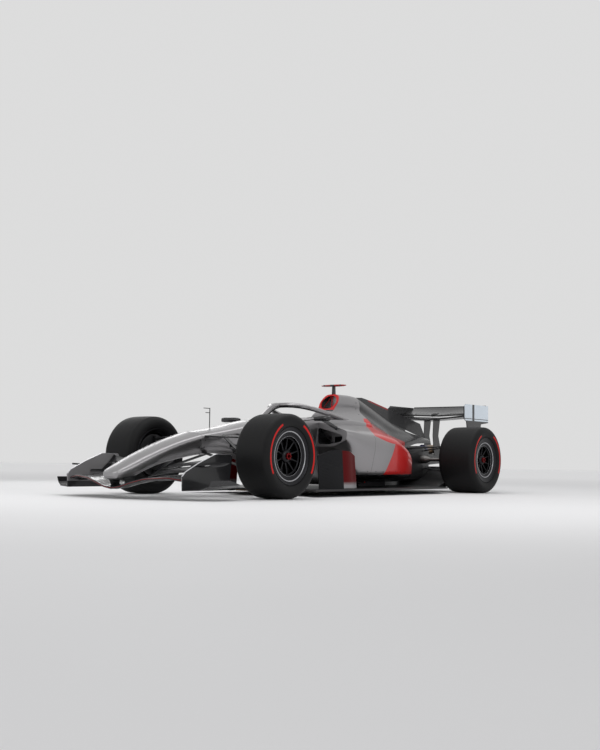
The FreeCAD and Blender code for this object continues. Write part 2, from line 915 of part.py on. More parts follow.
intake_run = Vector(
    back(INTAKE_HEAD_SHARES[0]) - back(INTAKE_FOOT_SHARES[0]),
    0,
    up(INTAKE_HEAD_SHARES[1]) - up(INTAKE_FOOT_SHARES[1]),
).normalize()
intake_normal = Vector(intake_run.z, 0, -intake_run.x)
intake_foot = Vector(back(INTAKE_FOOT_SHARES[0]), 0, up(INTAKE_FOOT_SHARES[1]))
hoop_body = loft([hoop_wire(row) for row in refined(HOOP_SHARES, STATION_GAP_SHARE)])


def slanted_block(offset):
    """The space in front of the slanted intake plane, moved forwards by offset."""
    reach = up(0.5)
    corner = intake_foot + intake_normal * offset
    outline = [
        corner - intake_run * reach,
        corner + intake_run * reach,
        corner + intake_run * reach + intake_normal * reach,
        corner - intake_run * reach + intake_normal * reach,
    ]
    outline = [Vector(p.x, -reach, p.z) for p in outline]
    return slab(outline, reach * 2, (0, 1, 0))


DUCT_SHARES = [
    (0.5000, 0.975, (0.20, 0.960), (0.300, 0.905), (0.215, 0.842), (0.10, 0.832)),
    (0.5450, 1.000, (0.22, 0.985), (0.325, 0.915), (0.235, 0.847), (0.12, 0.837)),
    (0.6000, 1.000, (0.22, 0.980), (0.325, 0.915), (0.235, 0.850), (0.12, 0.840)),
]


def duct_wire(row):
    station, crest, *corners = row
    wall = float(d.intake_wall)
    half = [(0, up(crest) - wall)]
    for i, (y, z) in enumerate(corners):
        drop = wall if i == 0 else 0
        half.append((tub(y) - wall * (1 if i < 3 else 0), up(z) - drop + (wall if i > 1 else 0)))
    cuts = [tub(0.2)] + [tub(0.1)] * len(corners)
    cuts += cuts[:0:-1]
    return soft_wire(mirrored_section(back(station), half), cuts, WAIST_STEPS)


duct = loft([duct_wire(row) for row in refined(DUCT_SHARES, STATION_GAP_SHARE)])
duct = duct.cut(
    box(
        (back(1), -half_width, 0),
        (intake_foot.x - float(d.intake_depth), half_width, up(2)),
    )
)
roll_hoop = hoop_body.cut(slanted_block(0.0)).cut(duct)
roll_hoop = one_solid(roll_hoop.cut(cell_outer).cut(halo).cut(collar))
feature("roll_hoop", roll_hoop)

# Engine cover with its fin: a thin shell, open below and at the front
# A row holds the station, the crest's height, and the corners from the crest to the foot
COVER_SHARES = [
    (
        0.6412,
        0.990,
        (0.22, 0.982),
        (0.335, 0.905),
        (0.300, 0.835),
        (0.540, 0.770),
        (0.78, 0.700),
        (0.84, 0.400),
    ),
    (
        0.7300,
        0.905,
        (0.14, 0.890),
        (0.260, 0.820),
        (0.300, 0.740),
        (0.500, 0.650),
        (0.70, 0.560),
        (0.76, 0.400),
    ),
    (
        0.8200,
        0.800,
        (0.10, 0.785),
        (0.225, 0.715),
        (0.270, 0.650),
        (0.380, 0.580),
        (0.52, 0.500),
        (0.58, 0.420),
    ),
    (
        0.8970,
        0.715,
        (0.09, 0.700),
        (0.190, 0.655),
        (0.230, 0.625),
        (0.310, 0.590),
        (0.42, 0.530),
        (0.44, 0.480),
    ),
    (
        0.9850,
        0.650,
        (0.09, 0.640),
        (0.150, 0.620),
        (0.190, 0.607),
        (0.250, 0.590),
        (0.30, 0.560),
        (0.31, 0.530),
    ),
    (
        1.0880,
        0.600,
        (0.08, 0.592),
        (0.115, 0.582),
        (0.140, 0.576),
        (0.165, 0.569),
        (0.18, 0.556),
        (0.18, 0.540),
    ),
]
FIN_SHARES = [
    (0.660, 0.985),
    (0.700, 0.992),
    (0.747, 0.968),
    (0.888, 0.874),
    (1.050, 0.760),
    (1.082, 0.610),
]
FIN_FOOT_SHARES = [
    (1.082, 0.590),
    (0.660, 0.900),
]


LEAST_HALF_SHARE = 0.02
SLOPE_SHARE = 0.6
COVER_CUT_SHARES = (0.06, 0.16, 0.02)


def cover_wire(row, shrink):
    """A section of the cover, or of its hollow when shrink is the wall's thickness."""
    station, crest, *corners = row
    half = [(0, up(crest) - shrink)]
    for i, (y, z) in enumerate(corners):
        drop = shrink * SLOPE_SHARE if i < len(corners) - 1 else 0
        half.append((max(tub(y) - shrink, tub(LEAST_HALF_SHARE)), up(z) - drop))
    foot_y, foot_z = half[-1]
    half[-1] = (foot_y, foot_z - (float(d.overrun) if shrink else 0))
    crest_cut, side_cut, foot_cut = COVER_CUT_SHARES
    cuts = [tub(crest_cut)] + [tub(side_cut)] * (len(corners) - 1) + [tub(foot_cut)]
    cuts += cuts[:0:-1]
    x = back(station)
    return soft_wire(mirrored_section(x, half), cuts, WAIST_STEPS)


cover_rows = refined(COVER_SHARES, STATION_GAP_SHARE)
cover_outer = loft([cover_wire(row, 0.0) for row in cover_rows])
cover_inner = loft([cover_wire(row, float(d.cover_wall)) for row in cover_rows])
fin_top = [Vector(back(s), -float(d.fin_thickness) / 2, up(z)) for s, z in FIN_SHARES]
fin_foot = [Vector(back(s), -float(d.fin_thickness) / 2, up(z)) for s, z in FIN_FOOT_SHARES]
fin = slab(fin_top + fin_foot, d.fin_thickness, (0, 1, 0))
cover = cover_outer.fuse(fin).cut(cover_inner)
engine_cover = one_solid(cover.cut(roll_hoop).cut(cell_outer))
feature("engine_cover", engine_cover)

# Side pods: corners run inner top, shoulder, outer edge, undercut, foot and inner foot
POD_SHARES = [
    (0.350, (0.240, 0.690), (0.420, 0.672), (0.690, 0.600), (0.680, 0.520), (0.520, 0.455), (0.24, 0.455)),
    (0.380, (0.230, 0.692), (0.425, 0.674), (0.725, 0.590), (0.722, 0.480), (0.620, 0.330), (0.24, 0.300)),
    (0.415, (0.220, 0.695), (0.425, 0.674), (0.742, 0.575), (0.738, 0.440), (0.660, 0.190), (0.24, 0.120)),
    (0.500, (0.210, 0.700), (0.410, 0.672), (0.748, 0.558), (0.744, 0.420), (0.690, 0.190), (0.24, 0.110)),
    (0.590, (0.190, 0.718), (0.370, 0.672), (0.715, 0.530), (0.712, 0.400), (0.670, 0.190), (0.24, 0.110)),
    (0.680, (0.160, 0.700), (0.310, 0.610), (0.640, 0.460), (0.640, 0.360), (0.610, 0.185), (0.20, 0.110)),
    (0.760, (0.130, 0.580), (0.250, 0.500), (0.520, 0.390), (0.525, 0.320), (0.505, 0.180), (0.18, 0.110)),
    (0.830, (0.110, 0.440), (0.190, 0.390), (0.360, 0.310), (0.370, 0.260), (0.365, 0.170), (0.15, 0.110)),
]


POD_CUT_SHARES = (0.05, 0.12, 0.055, 0.10, 0.05, 0.02)
INLET_NARROWING = 0.97
INLET_CUT_SHARE = 0.03
BAY_TOP_SHARE = 0.52


def pod_wire(row):
    station, *corners = row
    points = [Vector(back(station), side(y), up(z)) for y, z in corners]
    return soft_wire(points, [side(cut) for cut in POD_CUT_SHARES])


INLET_SHARES = [(0.345, 0.635), (0.655, 0.560), (0.640, 0.500), (0.470, 0.475), (0.345, 0.480)]
pod = loft([pod_wire(row) for row in refined(POD_SHARES, STATION_GAP_SHARE)])
inlet_x = back(POD_SHARES[0][0])
inlet_points = [
    Vector(inlet_x - float(d.pod_inlet_depth), side(y) * INLET_NARROWING, up(z))
    for y, z in INLET_SHARES
]
inlet_cuts = [side(INLET_CUT_SHARE)] * len(inlet_points)
inlet_face = Part.Face(soft_wire(inlet_points, inlet_cuts))
inlet = inlet_face.extrude(Vector(float(d.pod_inlet_depth) + float(d.overrun), 0, 0))
floor_plane_box = box((behind(1), 0, 0), (ahead(1), half_width, floor_top))
engine_bay = box(
    (behind(1), 0, 0),
    (back(TUB_SHARES[-1][0]), d.engine_width / 2 + d.fit_gap, up(BAY_TOP_SHARE)),
)
pod = pod.cut(Part.makeCompound([inlet, floor_plane_box, engine_bay]))
pod = one_solid(pod.cut(cell_outer).cut(roll_hoop).cut(halo).cut(cover_outer))
feature("sidepods", both_sides(pod))

# Power unit block, gearbox and rear crash structure
block = doc.addObject("Part::Box", "engine_block")
block.Label = "engine_block"
block.setExpression("Length", d.engine_length.text)
block.setExpression("Width", d.engine_width.text)
block.setExpression("Height", d.engine_height.text)
engine_nose = front_axle_x - d.wheelbase * TUB_SHARES[-1][0] - d.fit_gap
block.setExpression("Placement.Base.x", (engine_nose - d.engine_length).text)
block.setExpression("Placement.Base.y", (-(d.engine_width / 2)).text)
block.setExpression("Placement.Base.z", (floor_top + d.fit_gap).text)

engine_back_x = engine_nose - d.engine_length
GEARBOX_SHARES = [
    (0.000, 0.430, 0.130, 0.440),
    (0.350, 0.400, 0.120, 0.450),
    (0.800, 0.370, 0.120, 0.505),
    (1.000, 0.250, 0.200, 0.470),
]
CRASH_SHARES = [(0.000, 0.200, 0.290, 0.425), (0.600, 0.170, 0.310, 0.415), (1.000, 0.120, 0.335, 0.405)]
gearbox_start = float(engine_back_x - d.fit_gap)
gearbox_end = behind(0.26)
crash_end = behind(0.93)


def casing_wire(x, half_share, low, high):
    half = tub(half_share)
    points = [
        Vector(x, half, up(high)),
        Vector(x, half, up(low)),
        Vector(x, -half, up(low)),
        Vector(x, -half, up(high)),
    ]
    return soft_wire(points, [half * 0.4] * 4, 2)


def casing_half(x):
    """Half width of the gearbox at x, on straight lines between its sections."""
    share = (x - gearbox_start) / (gearbox_end - gearbox_start)
    for low, high in zip(GEARBOX_SHARES, GEARBOX_SHARES[1:]):
        if share <= high[0]:
            part = (share - low[0]) / (high[0] - low[0])
            return tub(low[1] + (high[1] - low[1]) * part)
    return tub(GEARBOX_SHARES[-1][1])


gearbox = loft(
    [
        casing_wire(gearbox_start + (gearbox_end - gearbox_start) * s, *row)
        for s, *row in GEARBOX_SHARES
    ]
)
feature("gearbox", gearbox)
crash = loft(
    [
        casing_wire(gearbox_end + (crash_end - gearbox_end) * s, *row)
        for s, *row in CRASH_SHARES
    ]
)
LAMP_Z_SHARE = 0.37
LAMP_HALF_SHARE = 0.09
lamp = box(
    (
        crash_end - float(d.overrun) / 2,
        -tub(LAMP_HALF_SHARE),
        up(LAMP_Z_SHARE) - float(d.rear_light_height) / 2,
    ),
    (crash_end, tub(LAMP_HALF_SHARE), up(LAMP_Z_SHARE) + float(d.rear_light_height) / 2),
)
feature("rear_crash_structure", crash.fuse(lamp).removeSplitter())

exhaust_z = up(0.425) + float(d.exhaust_radius) + float(d.fit_gap)
exhaust_start = Vector(gearbox_end - float(d.fit_gap), 0, exhaust_z)
exhaust_end = Vector(behind(0.58), 0, exhaust_z)
tail_pipe = rod(exhaust_start, exhaust_end, d.exhaust_radius)
bore_start = exhaust_start - Vector(float(d.overrun), 0, 0)
tail_bore = rod(bore_start, exhaust_end, d.exhaust_radius - d.exhaust_wall)
feature("exhaust", tail_pipe.cut(tail_bore))

# Floor: flat plate with raised edges, plank beneath it and the diffuser behind
FLOOR_SHARES = [
    (0.135, 0.00),
    (0.135, 0.20),
    (0.220, 0.42),
    (0.200, 0.70),
    (0.155, 1.00),
    (0.830, 1.00),
    (0.880, 0.74),
    (0.915, 0.633),
    (0.925, 0.633),
]
FLOOR_PLATE_X_END_SHARE = 0.925


def floor_points():
    left = [
        (front_axle_x - d.wheelbase * s, d.floor_half_width * y if y else Size.of(0))
        for s, y in FLOOR_SHARES
    ]
    right = [(x, -y) for x, y in reversed(left) if y.value > 0]
    return left + right


floor_body = new_body("floor", ((0, 0, d.floor_bottom), Rotation()))
floor_sketch = polygon_sketch(floor_body, "XY_Plane", "FloorPlan", floor_points())
pad(floor_body, floor_sketch, d.floor_thickness, symmetric=False)

plank = new_body("plank", ((0, 0, d.floor_bottom - d.plank_thickness), Rotation()))
plank_front = front_axle_x - d.wheelbase * 0.14
plank_back = front_axle_x - d.wheelbase * 0.92
plank_sketch = polygon_sketch(
    plank,
    "XY_Plane",
    "PlankPlan",
    [
        (plank_front, d.plank_width / 4),
        (plank_front - d.plank_width / 4, d.plank_width / 2),
        (plank_back, d.plank_width / 2),
        (plank_back, -(d.plank_width / 2)),
        (plank_front - d.plank_width / 4, -(d.plank_width / 2)),
        (plank_front, -(d.plank_width / 4)),
    ],
)
pad(plank, plank_sketch, d.plank_thickness, symmetric=False)

diffuser_front = back(FLOOR_PLATE_X_END_SHARE)
diffuser_back = behind(0.44)
ramp_low, ramp_high = float(d.floor_bottom), float(d.floor_bottom + d.diffuser_rise)
ramp = slab(
    [
        Vector(diffuser_front, -float(d.diffuser_half_width), ramp_low),
        Vector(diffuser_back, -float(d.diffuser_half_width), ramp_high),
        Vector(diffuser_back, -float(d.diffuser_half_width), ramp_high + float(d.diffuser_skin)),
        Vector(diffuser_front, -float(d.diffuser_half_width), ramp_low + float(d.floor_thickness)),
    ],
    d.diffuser_half_width * 2,
    (0, 1, 0),
)
STRAKE_SHARES = (-1.0, -0.62, -0.28, 0.28, 0.62, 1.0)
STRAKE_RISE_SHARE = 0.12
strake_low = ramp_low + float(d.diffuser_rise) * STRAKE_RISE_SHARE
strakes = []
for share in STRAKE_SHARES:
    y = (float(d.diffuser_half_width) - float(d.diffuser_skin)) * share
    strakes.append(
        slab(
            [
                Vector(diffuser_front, y - float(d.diffuser_skin) / 2, ramp_low),
                Vector(diffuser_back, y - float(d.diffuser_skin) / 2, ramp_high),
                Vector(diffuser_back, y - float(d.diffuser_skin) / 2, strake_low),
            ],
            d.diffuser_skin,
            (0, 1, 0),
        )
    )
diffuser = ramp.multiFuse(strakes).removeSplitter()
diffuser = one_solid(diffuser.cut(gearbox))
feature("diffuser", diffuser)

# Upright boards on the floor in front of the side pods
BOARD_SHARES = [(0.235, 0.66, 0.86), (0.275, 0.760, 1.00), (0.320, 0.800, 0.98), (0.362, 0.770, 0.86)]


def board_wire(station, y_share, height_share):
    x, y = back(station), side(y_share)
    foot, top = float(floor_top), float(floor_top + d.board_height * height_share)
    half = float(d.board_thickness) / 2
    lean = float(d.board_thickness) * 3
    points = [
        Vector(x, y - half, foot),
        Vector(x, y + half, foot),
        Vector(x, y + half - lean, top),
        Vector(x, y - half - lean, top),
    ]
    return closed_wire(points)


board = loft([board_wire(*row) for row in refined(BOARD_SHARES, STATION_GAP_SHARE / 2)])
feature("floor_boards", both_sides(board))

# Rear wing: plates, main element, pylons, and the flap pair that opens
PLATE_SHARES = [
    (0.330, 0.965),
    (0.380, 1.000),
    (1.000, 1.000),
    (1.000, 0.800),
    (0.800, 0.780),
    (0.700, 0.550),
    (0.660, 0.265),
    (0.425, 0.265),
    (0.450, 0.550),
    (0.400, 0.800),
    (0.330, 0.830),
]


def rear_plate_points():
    base = d.rear_wing_top
    return [(rear_axle_x - d.rear_overhang * s, base * z) for s, z in PLATE_SHARES]


plate_left = new_body(
    "rear_plate_profile", ((0, d.rear_wing_half_span + d.rear_plate_thickness, 0), Rotation())
)
plate_sketch = polygon_sketch(plate_left, "XZ_Plane", "PlateOutline", rear_plate_points())
pad(plate_left, plate_sketch, d.rear_plate_thickness, symmetric=False)
doc.recompute()

REAR_MAIN_SHARES = [
    (0.00, 0.400, 0.832, 0.700, 0.862),
    (0.55, 0.385, 0.850, 0.690, 0.872),
    (1.00, 0.355, 0.868, 0.680, 0.885),
]
REAR_FLAP_SHARES = [(0.0, 0.690, 0.885, 0.985, 0.998), (1.0, 0.672, 0.905, 0.985, 0.998)]
WING_THICKNESS_SHARE = 0.10
WING_CAMBER_SHARE = 0.09


def rear_stations(table, half_span):
    top = float(d.rear_wing_top)
    return [
        (float(half_span) * y, behind(nx), top * nz, behind(tx), top * tz)
        for y, nx, nz, tx, tz in table
    ]


rear_main = wing(
    full_span(rear_stations(REAR_MAIN_SHARES, d.rear_wing_half_span)),
    WING_THICKNESS_SHARE,
    WING_CAMBER_SHARE,
)
feature("rear_wing_main", rear_main)

flap_half_span = d.rear_wing_half_span - d.free_gap
rear_flap = wing(
    full_span(rear_stations(REAR_FLAP_SHARES, flap_half_span)),
    WING_THICKNESS_SHARE,
    WING_CAMBER_SHARE,
)
hinge_x = behind(0.955)
hinge_z = float(d.rear_wing_top) * 0.985
flap_top = float(d.rear_wing_top)
rib_outline = [
    Vector(behind(0.74), 0, flap_top * 0.892),
    Vector(behind(0.980), 0, flap_top * 0.978),
    Vector(behind(0.975), 0, flap_top * 0.992),
    Vector(behind(0.93), 0, flap_top * 0.992),
    Vector(behind(0.76), 0, flap_top * 0.93),
]
rib_thickness = float(d.rear_plate_thickness) / 2
ribs = []
for y in (-float(flap_half_span), float(flap_half_span) - rib_thickness):
    ribs.append(slab([p + Vector(0, y, 0) for p in rib_outline], rib_thickness, (0, 1, 0)))
feature("rear_wing_flap", one_solid(rear_flap.multiFuse(ribs)))

pin = rod(
    Vector(hinge_x, float(flap_half_span + d.fit_gap), hinge_z),
    Vector(hinge_x, float(d.rear_wing_half_span + d.rear_plate_thickness / 2), hinge_z),
    d.wing_trailing_edge * 2,
)
plate_shape = plate_left.Shape.copy()
plate_shape = plate_shape.fuse(pin).removeSplitter()
plate_shape = plate_shape.cut(diffuser)
feature("rear_wing_plates", both_sides(one_solid(plate_shape)))

PYLON_SHARES = [
    (0.455, 0.400),
    (0.420, 0.640),
    (0.440, 0.905),
    (0.620, 0.905),
    (0.560, 0.640),
    (0.660, 0.400),
]
pylon_y = float(d.exhaust_radius + d.free_gap)
pylon_outline = [
    Vector(behind(s), pylon_y, float(d.rear_wing_top) * z) for s, z in PYLON_SHARES
]
pylon = slab(pylon_outline, d.pylon_thickness, (0, 1, 0))
pylon_tops = rear_main.fuse(
    box((behind(1), -half_width, d.rear_wing_top * 0.88), (behind(0), half_width, up(2)))
)
pylon = one_solid(pylon.cut(crash).cut(pylon_tops))
feature("rear_wing_pylons", both_sides(pylon))

# Front wing: main element and pylons, end plates with foot plates, and the flaps that tilt
FRONT_MAIN_SHARES = [
    (0.00, 0.985, 0.084, 0.800, 0.125),
    (0.15, 0.980, 0.098, 0.795, 0.135),
    (0.30, 0.970, 0.130, 0.780, 0.160),
    (0.50, 0.947, 0.161, 0.735, 0.185),
    (0.78, 0.900, 0.176, 0.650, 0.200),
    (1.00, 0.858, 0.156, 0.560, 0.185),
]
FRONT_FLAP_SHARES = [
    [
        (0.235, 0.762, 0.172, 0.660, 0.216),
        (0.500, 0.715, 0.206, 0.600, 0.248),
        (0.780, 0.632, 0.222, 0.520, 0.266),
        (1.000, 0.546, 0.209, 0.470, 0.272),
    ],
    [
        (0.235, 0.655, 0.229, 0.570, 0.258),
        (0.500, 0.596, 0.262, 0.500, 0.292),
        (0.780, 0.516, 0.281, 0.435, 0.318),
        (1.000, 0.466, 0.288, 0.428, 0.345),
    ],
]
FLAP_PIVOT_SHARES = (0.655, 0.212)
FRONT_PLATE_SHARES = [
    (0.876, 0.000),
    (0.882, 0.380),
    (0.850, 0.510),
    (0.715, 0.760),
    (0.561, 0.985),
    (0.545, 1.000),
    (0.388, 1.000),
    (0.380, 0.940),
    (0.400, 0.300),
    (0.395, 0.000),
]
FRONT_WING_THICKNESS_SHARE = 0.11
FRONT_WING_CAMBER_SHARE = 0.07
FRONT_FLAP_THICKNESS_SHARE = 0.09
FRONT_FLAP_CAMBER_SHARE = 0.08
NOSE_PYLON_SHARES = [
    (0.903, 0.099),
    (0.945, 0.190),
    (0.815, 0.200),
    (0.841, 0.112),
]
NOSE_PYLON_Y_SHARE = 0.22
# Columns: place across the foot plate, its front end and rise there, its back end and rise there
FOOT_SHARES = [
    (0.00, 0.870, 0.00, 0.440, 0.06),
    (0.60, 0.840, 0.02, 0.440, 0.09),
    (0.92, 0.810, 0.12, 0.500, 0.16),
    (1.00, 0.810, 0.27, 0.620, 0.27),
]
# Columns: reach out from the end plate, then the nose and the tail of the small dive plane
DIVE_SHARES = [
    (0.0, 0.700, 0.262, 0.500, 0.300),
    (0.6, 0.740, 0.268, 0.540, 0.286),
]
DIVE_THICKNESS_SHARE = 0.06
DIVE_CAMBER_SHARE = 0.05


def front_stations(table, half_span):
    return [
        (float(half_span) * y, ahead(nx), up(nz), ahead(tx), up(tz)) for y, nx, nz, tx, tz in table
    ]


front_main = wing(
    full_span(front_stations(FRONT_MAIN_SHARES, d.front_wing_half_span)),
    FRONT_WING_THICKNESS_SHARE,
    FRONT_WING_CAMBER_SHARE,
)
nose_pylon = slab(
    [Vector(ahead(s), tub(NOSE_PYLON_Y_SHARE), up(z)) for s, z in NOSE_PYLON_SHARES],
    d.nose_pylon_thickness,
    (0, 1, 0),
)
pylons = [one_solid(p.cut(nose_solid)) for p in (nose_pylon, mirrored(nose_pylon))]
front_wing = front_main.multiFuse(pylons)
feature("front_wing_main", one_solid(front_wing))

foot_y = d.front_wing_half_span
plate_low = d.front_wing_clearance + d.wing_trailing_edge * 4
front_plate = slab(
    [
        Vector(ahead(s), float(foot_y), float(plate_low + d.front_plate_height * z))
        for s, z in FRONT_PLATE_SHARES
    ],
    d.front_plate_thickness,
    (0, 1, 0),
)
foot_wires = []
for y_share, front_share, front_rise, back_share, back_rise in FOOT_SHARES:
    y = float(foot_y + d.front_plate_thickness / 2 + d.front_foot_width * y_share)
    low = float(plate_low)
    tall = float(d.front_plate_height)
    thin = float(d.wing_trailing_edge) * 2
    points = [
        Vector(ahead(front_share), y, low + tall * front_rise),
        Vector(ahead(back_share), y, low + tall * back_rise),
        Vector(ahead(back_share), y, low + tall * back_rise + thin),
        Vector(ahead(front_share), y, low + tall * front_rise + thin),
    ]
    foot_wires.append(closed_wire(points))
foot = loft(foot_wires)
plate_outer = float(front_wing_outer - d.front_plate_thickness / 2)
dive = wing(
    [
        (plate_outer + float(d.front_foot_width) * reach, ahead(nx), up(nz), ahead(tx), up(tz))
        for reach, nx, nz, tx, tz in DIVE_SHARES
    ],
    DIVE_THICKNESS_SHARE,
    DIVE_CAMBER_SHARE,
)
flap_pivot_x = ahead(FLAP_PIVOT_SHARES[0])
flap_pivot_z = up(FLAP_PIVOT_SHARES[1])
flap_inner_y = float(d.front_wing_half_span - d.free_gap)
flap_pin = rod(
    Vector(flap_pivot_x, flap_inner_y + float(d.fit_gap), flap_pivot_z),
    Vector(flap_pivot_x, float(foot_y + d.front_plate_thickness / 2), flap_pivot_z),
    d.wing_trailing_edge * 1.5,
)
plate = front_plate.multiFuse([foot, dive, flap_pin])
plate = one_solid(plate.cut(front_main))
feature("front_wing_plates", both_sides(plate))

flap_half_span = d.front_wing_half_span - d.free_gap
flap_elements = [
    wing(
        front_stations(table, flap_half_span),
        FRONT_FLAP_THICKNESS_SHARE,
        FRONT_FLAP_CAMBER_SHARE,
    )
    for table in FRONT_FLAP_SHARES
]
END_RIB_SHARES = [
    (0.668, 0.204),
    (0.540, 0.196),
    (0.462, 0.262),
    (0.424, 0.338),
    (0.436, 0.352),
    (0.482, 0.292),
    (0.556, 0.224),
    (0.664, 0.222),
]
ROOT_RIB_SHARES = [
    (0.735, 0.170),
    (0.640, 0.208),
    (0.580, 0.238),
    (0.576, 0.262),
    (0.650, 0.240),
    (0.740, 0.188),
]
ROOT_RIB_Y_SHARE = 0.262
end_rib = slab(
    [
        Vector(ahead(s), flap_inner_y - rib_thickness, up(z))
        for s, z in END_RIB_SHARES
    ],
    rib_thickness,
    (0, 1, 0),
)
root_rib = slab(
    [
        Vector(ahead(s), flap_inner_y * ROOT_RIB_Y_SHARE, up(z))
        for s, z in ROOT_RIB_SHARES
    ],
    rib_thickness,
    (0, 1, 0),
)
front_flap = flap_elements[0].multiFuse([flap_elements[1], end_rib, root_rib])
feature("front_flaps", both_sides(one_solid(front_flap)))

# Uprights, wishbones, push rods and track rods
def drum_span(track_y, rim_width):
    """Y of the inner and outer face of the brake drum."""
    inner = track_y - d.kingpin_inset + d.lug_reach + d.fit_gap
    outer = track_y + rim_width / 2 - d.hub_face_setback - d.hub_depth - d.drum_gap
    return inner, outer


def lugs(x, joint_y, z, drum_inner):
    """Two ears above and below a joint boss, with the pin through them."""
    gap = float(d.joint_boss_height) / 2 + float(d.fit_gap)
    thick = float(d.lug_thickness)
    half = float(d.joint_boss_radius) * 1.25
    reach = float(drum_inner) - float(joint_y)
    made = []
    for low in (gap, -gap - thick):
        made.append(
            box(
                (float(x) - half, joint_y, float(z) + low),
                (float(x) + half, float(joint_y) + reach, float(z) + low + thick),
            )
        )
        made.append(
            Part.makeCylinder(half, thick, vec(x, joint_y, float(z) + low), Vector(0, 0, 1))
        )
    made.append(
        Part.makeCylinder(
            float(d.joint_pin_radius),
            2 * (gap + thick),
            vec(x, joint_y, float(z) - gap - thick),
            Vector(0, 0, 1),
        )
    )
    return made


def upright(axle_x, hub_z, track_y, rim_width, joints, bore):
    """A brake drum with a spindle for the hub and ears for the joints."""
    inner, outer = drum_span(track_y, rim_width)
    centre = vec(axle_x, inner, hub_z)
    drum = Part.makeCylinder(float(d.drum_radius), float(outer - inner), centre, Vector(0, 1, 0))
    spindle_end = track_y + rim_width / 2 - d.hub_face_setback - d.hub_cap_thickness - d.free_gap
    spindle = Part.makeCylinder(
        float(d.spindle_radius), float(spindle_end - inner), centre, Vector(0, 1, 0)
    )
    solid = drum.fuse(spindle)
    for x, z in joints:
        solid = solid.multiFuse(lugs(x, track_y - d.kingpin_inset, z, inner))
    if bore:
        hole = Part.makeCylinder(
            float(d.spindle_bore_radius),
            float(spindle_end - inner) + 2 * float(d.overrun),
            centre - Vector(0, float(d.overrun), 0),
            Vector(0, 1, 0),
        )
        solid = solid.cut(hole)
    return one_solid(solid)


front_joints = [
    (front_axle_x, front_hub_z + d.joint_rise),
    (front_axle_x, front_hub_z - d.joint_rise),
    (track_rod_x, track_rod_z),
]
front_upright = upright(front_axle_x, front_hub_z, front_track_y, d.front_rim_width, front_joints, False)
feature("front_upright_left", front_upright)
feature("front_upright_right", mirrored(front_upright))

rear_joints = [
    (rear_axle_x, rear_hub_z + d.joint_rise),
    (rear_axle_x, rear_hub_z - d.joint_rise),
]
rear_upright = upright(rear_axle_x, rear_hub_z, rear_track_y, d.rear_rim_width, rear_joints, True)
feature("rear_uprights", both_sides(rear_upright))


def boss(x, y, z):
    """The eye at an arm's outer end, bored for the joint's pin."""
    height = float(d.joint_boss_height)
    base = vec(x, y, float(z) - height / 2)
    outer = Part.makeCylinder(float(d.joint_boss_radius), height, base, Vector(0, 0, 1))
    hole = Part.makeCylinder(
        float(d.joint_pin_radius + d.fit_gap / 2), height, base, Vector(0, 0, 1)
    )
    return outer, hole


def wishbone(joint, feet, chord, thickness):
    """Two streamlined legs from an outer eye to their feet on the body."""
    outer, hole = boss(*joint)
    tip = vec(*joint) - Vector(0, float(d.joint_boss_radius) * 0.4, 0)
    legs = [blade(tip, foot, chord, thickness, Vector(1, 0, 0)) for foot in feet]
    return outer.multiFuse(legs).cut(hole)


upper_feet = [
    Vector(ahead(0.185), tub(0.40), up(0.515)),
    Vector(back(0.062), tub(0.40), up(0.545)),
]
lower_feet = [
    Vector(ahead(0.175), tub(0.30), up(0.385)),
    Vector(back(0.066), tub(0.30), up(0.400)),
]
arm_sizes = (d.arm_chord, d.arm_thickness)
upper = wishbone((front_axle_x, kingpin_y, front_hub_z + d.joint_rise), upper_feet, *arm_sizes)
lower = wishbone((front_axle_x, kingpin_y, front_hub_z - d.joint_rise), lower_feet, *arm_sizes)
push_start = vec(
    front_axle_x,
    kingpin_y - d.joint_boss_radius * 2.6,
    front_hub_z - d.joint_rise + d.joint_boss_radius * 0.8,
)
push_rod = blade(
    push_start,
    Vector(float(front_axle_x), tub(0.40), up(0.56)),
    d.push_rod_chord,
    d.arm_thickness,
    Vector(1, 0, 0),
)
lower = lower.fuse(push_rod)
cell_blank = cell_outer.fuse(nose_solid)
arms = [one_solid(a.cut(cell_blank)) for a in (upper, lower)]
feature("front_wishbones", Part.makeCompound(arms + [mirrored(a) for a in arms]))

rod_outer, rod_hole = boss(track_rod_x, kingpin_y, track_rod_z)
rod_tip = vec(track_rod_x, kingpin_y, track_rod_z) - Vector(0, float(d.joint_boss_radius) * 0.4, 0)
rod_end = vec(track_rod_x, tub(0.56) - float(d.track_rod_insertion), track_rod_z)
track_rod = rod_outer.fuse(
    blade(rod_tip, rod_end, d.track_rod_chord, d.arm_thickness, Vector(1, 0, 0))
).cut(rod_hole)
track_rod = one_solid(track_rod)
feature("track_rod_left", track_rod)
feature("track_rod_right", mirrored(track_rod))

rear_upper_feet = [
    Vector(behind(-0.42), tub(0.25), up(0.470)),
    Vector(behind(0.16), tub(0.20), up(0.455)),
]
rear_lower_feet = [
    Vector(behind(-0.46), tub(0.25), up(0.250)),
    Vector(behind(0.14), tub(0.20), up(0.260)),
]
rear_upper = wishbone(
    (rear_axle_x, rear_joint_y, rear_hub_z + d.joint_rise), rear_upper_feet, *arm_sizes
)
rear_lower = wishbone(
    (rear_axle_x, rear_joint_y, rear_hub_z - d.joint_rise), rear_lower_feet, *arm_sizes
)
rear_arms = [one_solid(a.cut(gearbox).cut(diffuser)) for a in (rear_upper, rear_lower)]
feature("rear_wishbones", Part.makeCompound(rear_arms + [mirrored(a) for a in rear_arms]))

# Driveshafts: turned bars with a bell at each end, in line with the wheel
hub_cap_y = rear_track_y + d.rear_rim_width / 2 - d.hub_face_setback - d.hub_cap_thickness
shaft_inner_y = casing_half(float(rear_axle_x + d.driveshaft_boot_radius)) + float(d.fit_gap)


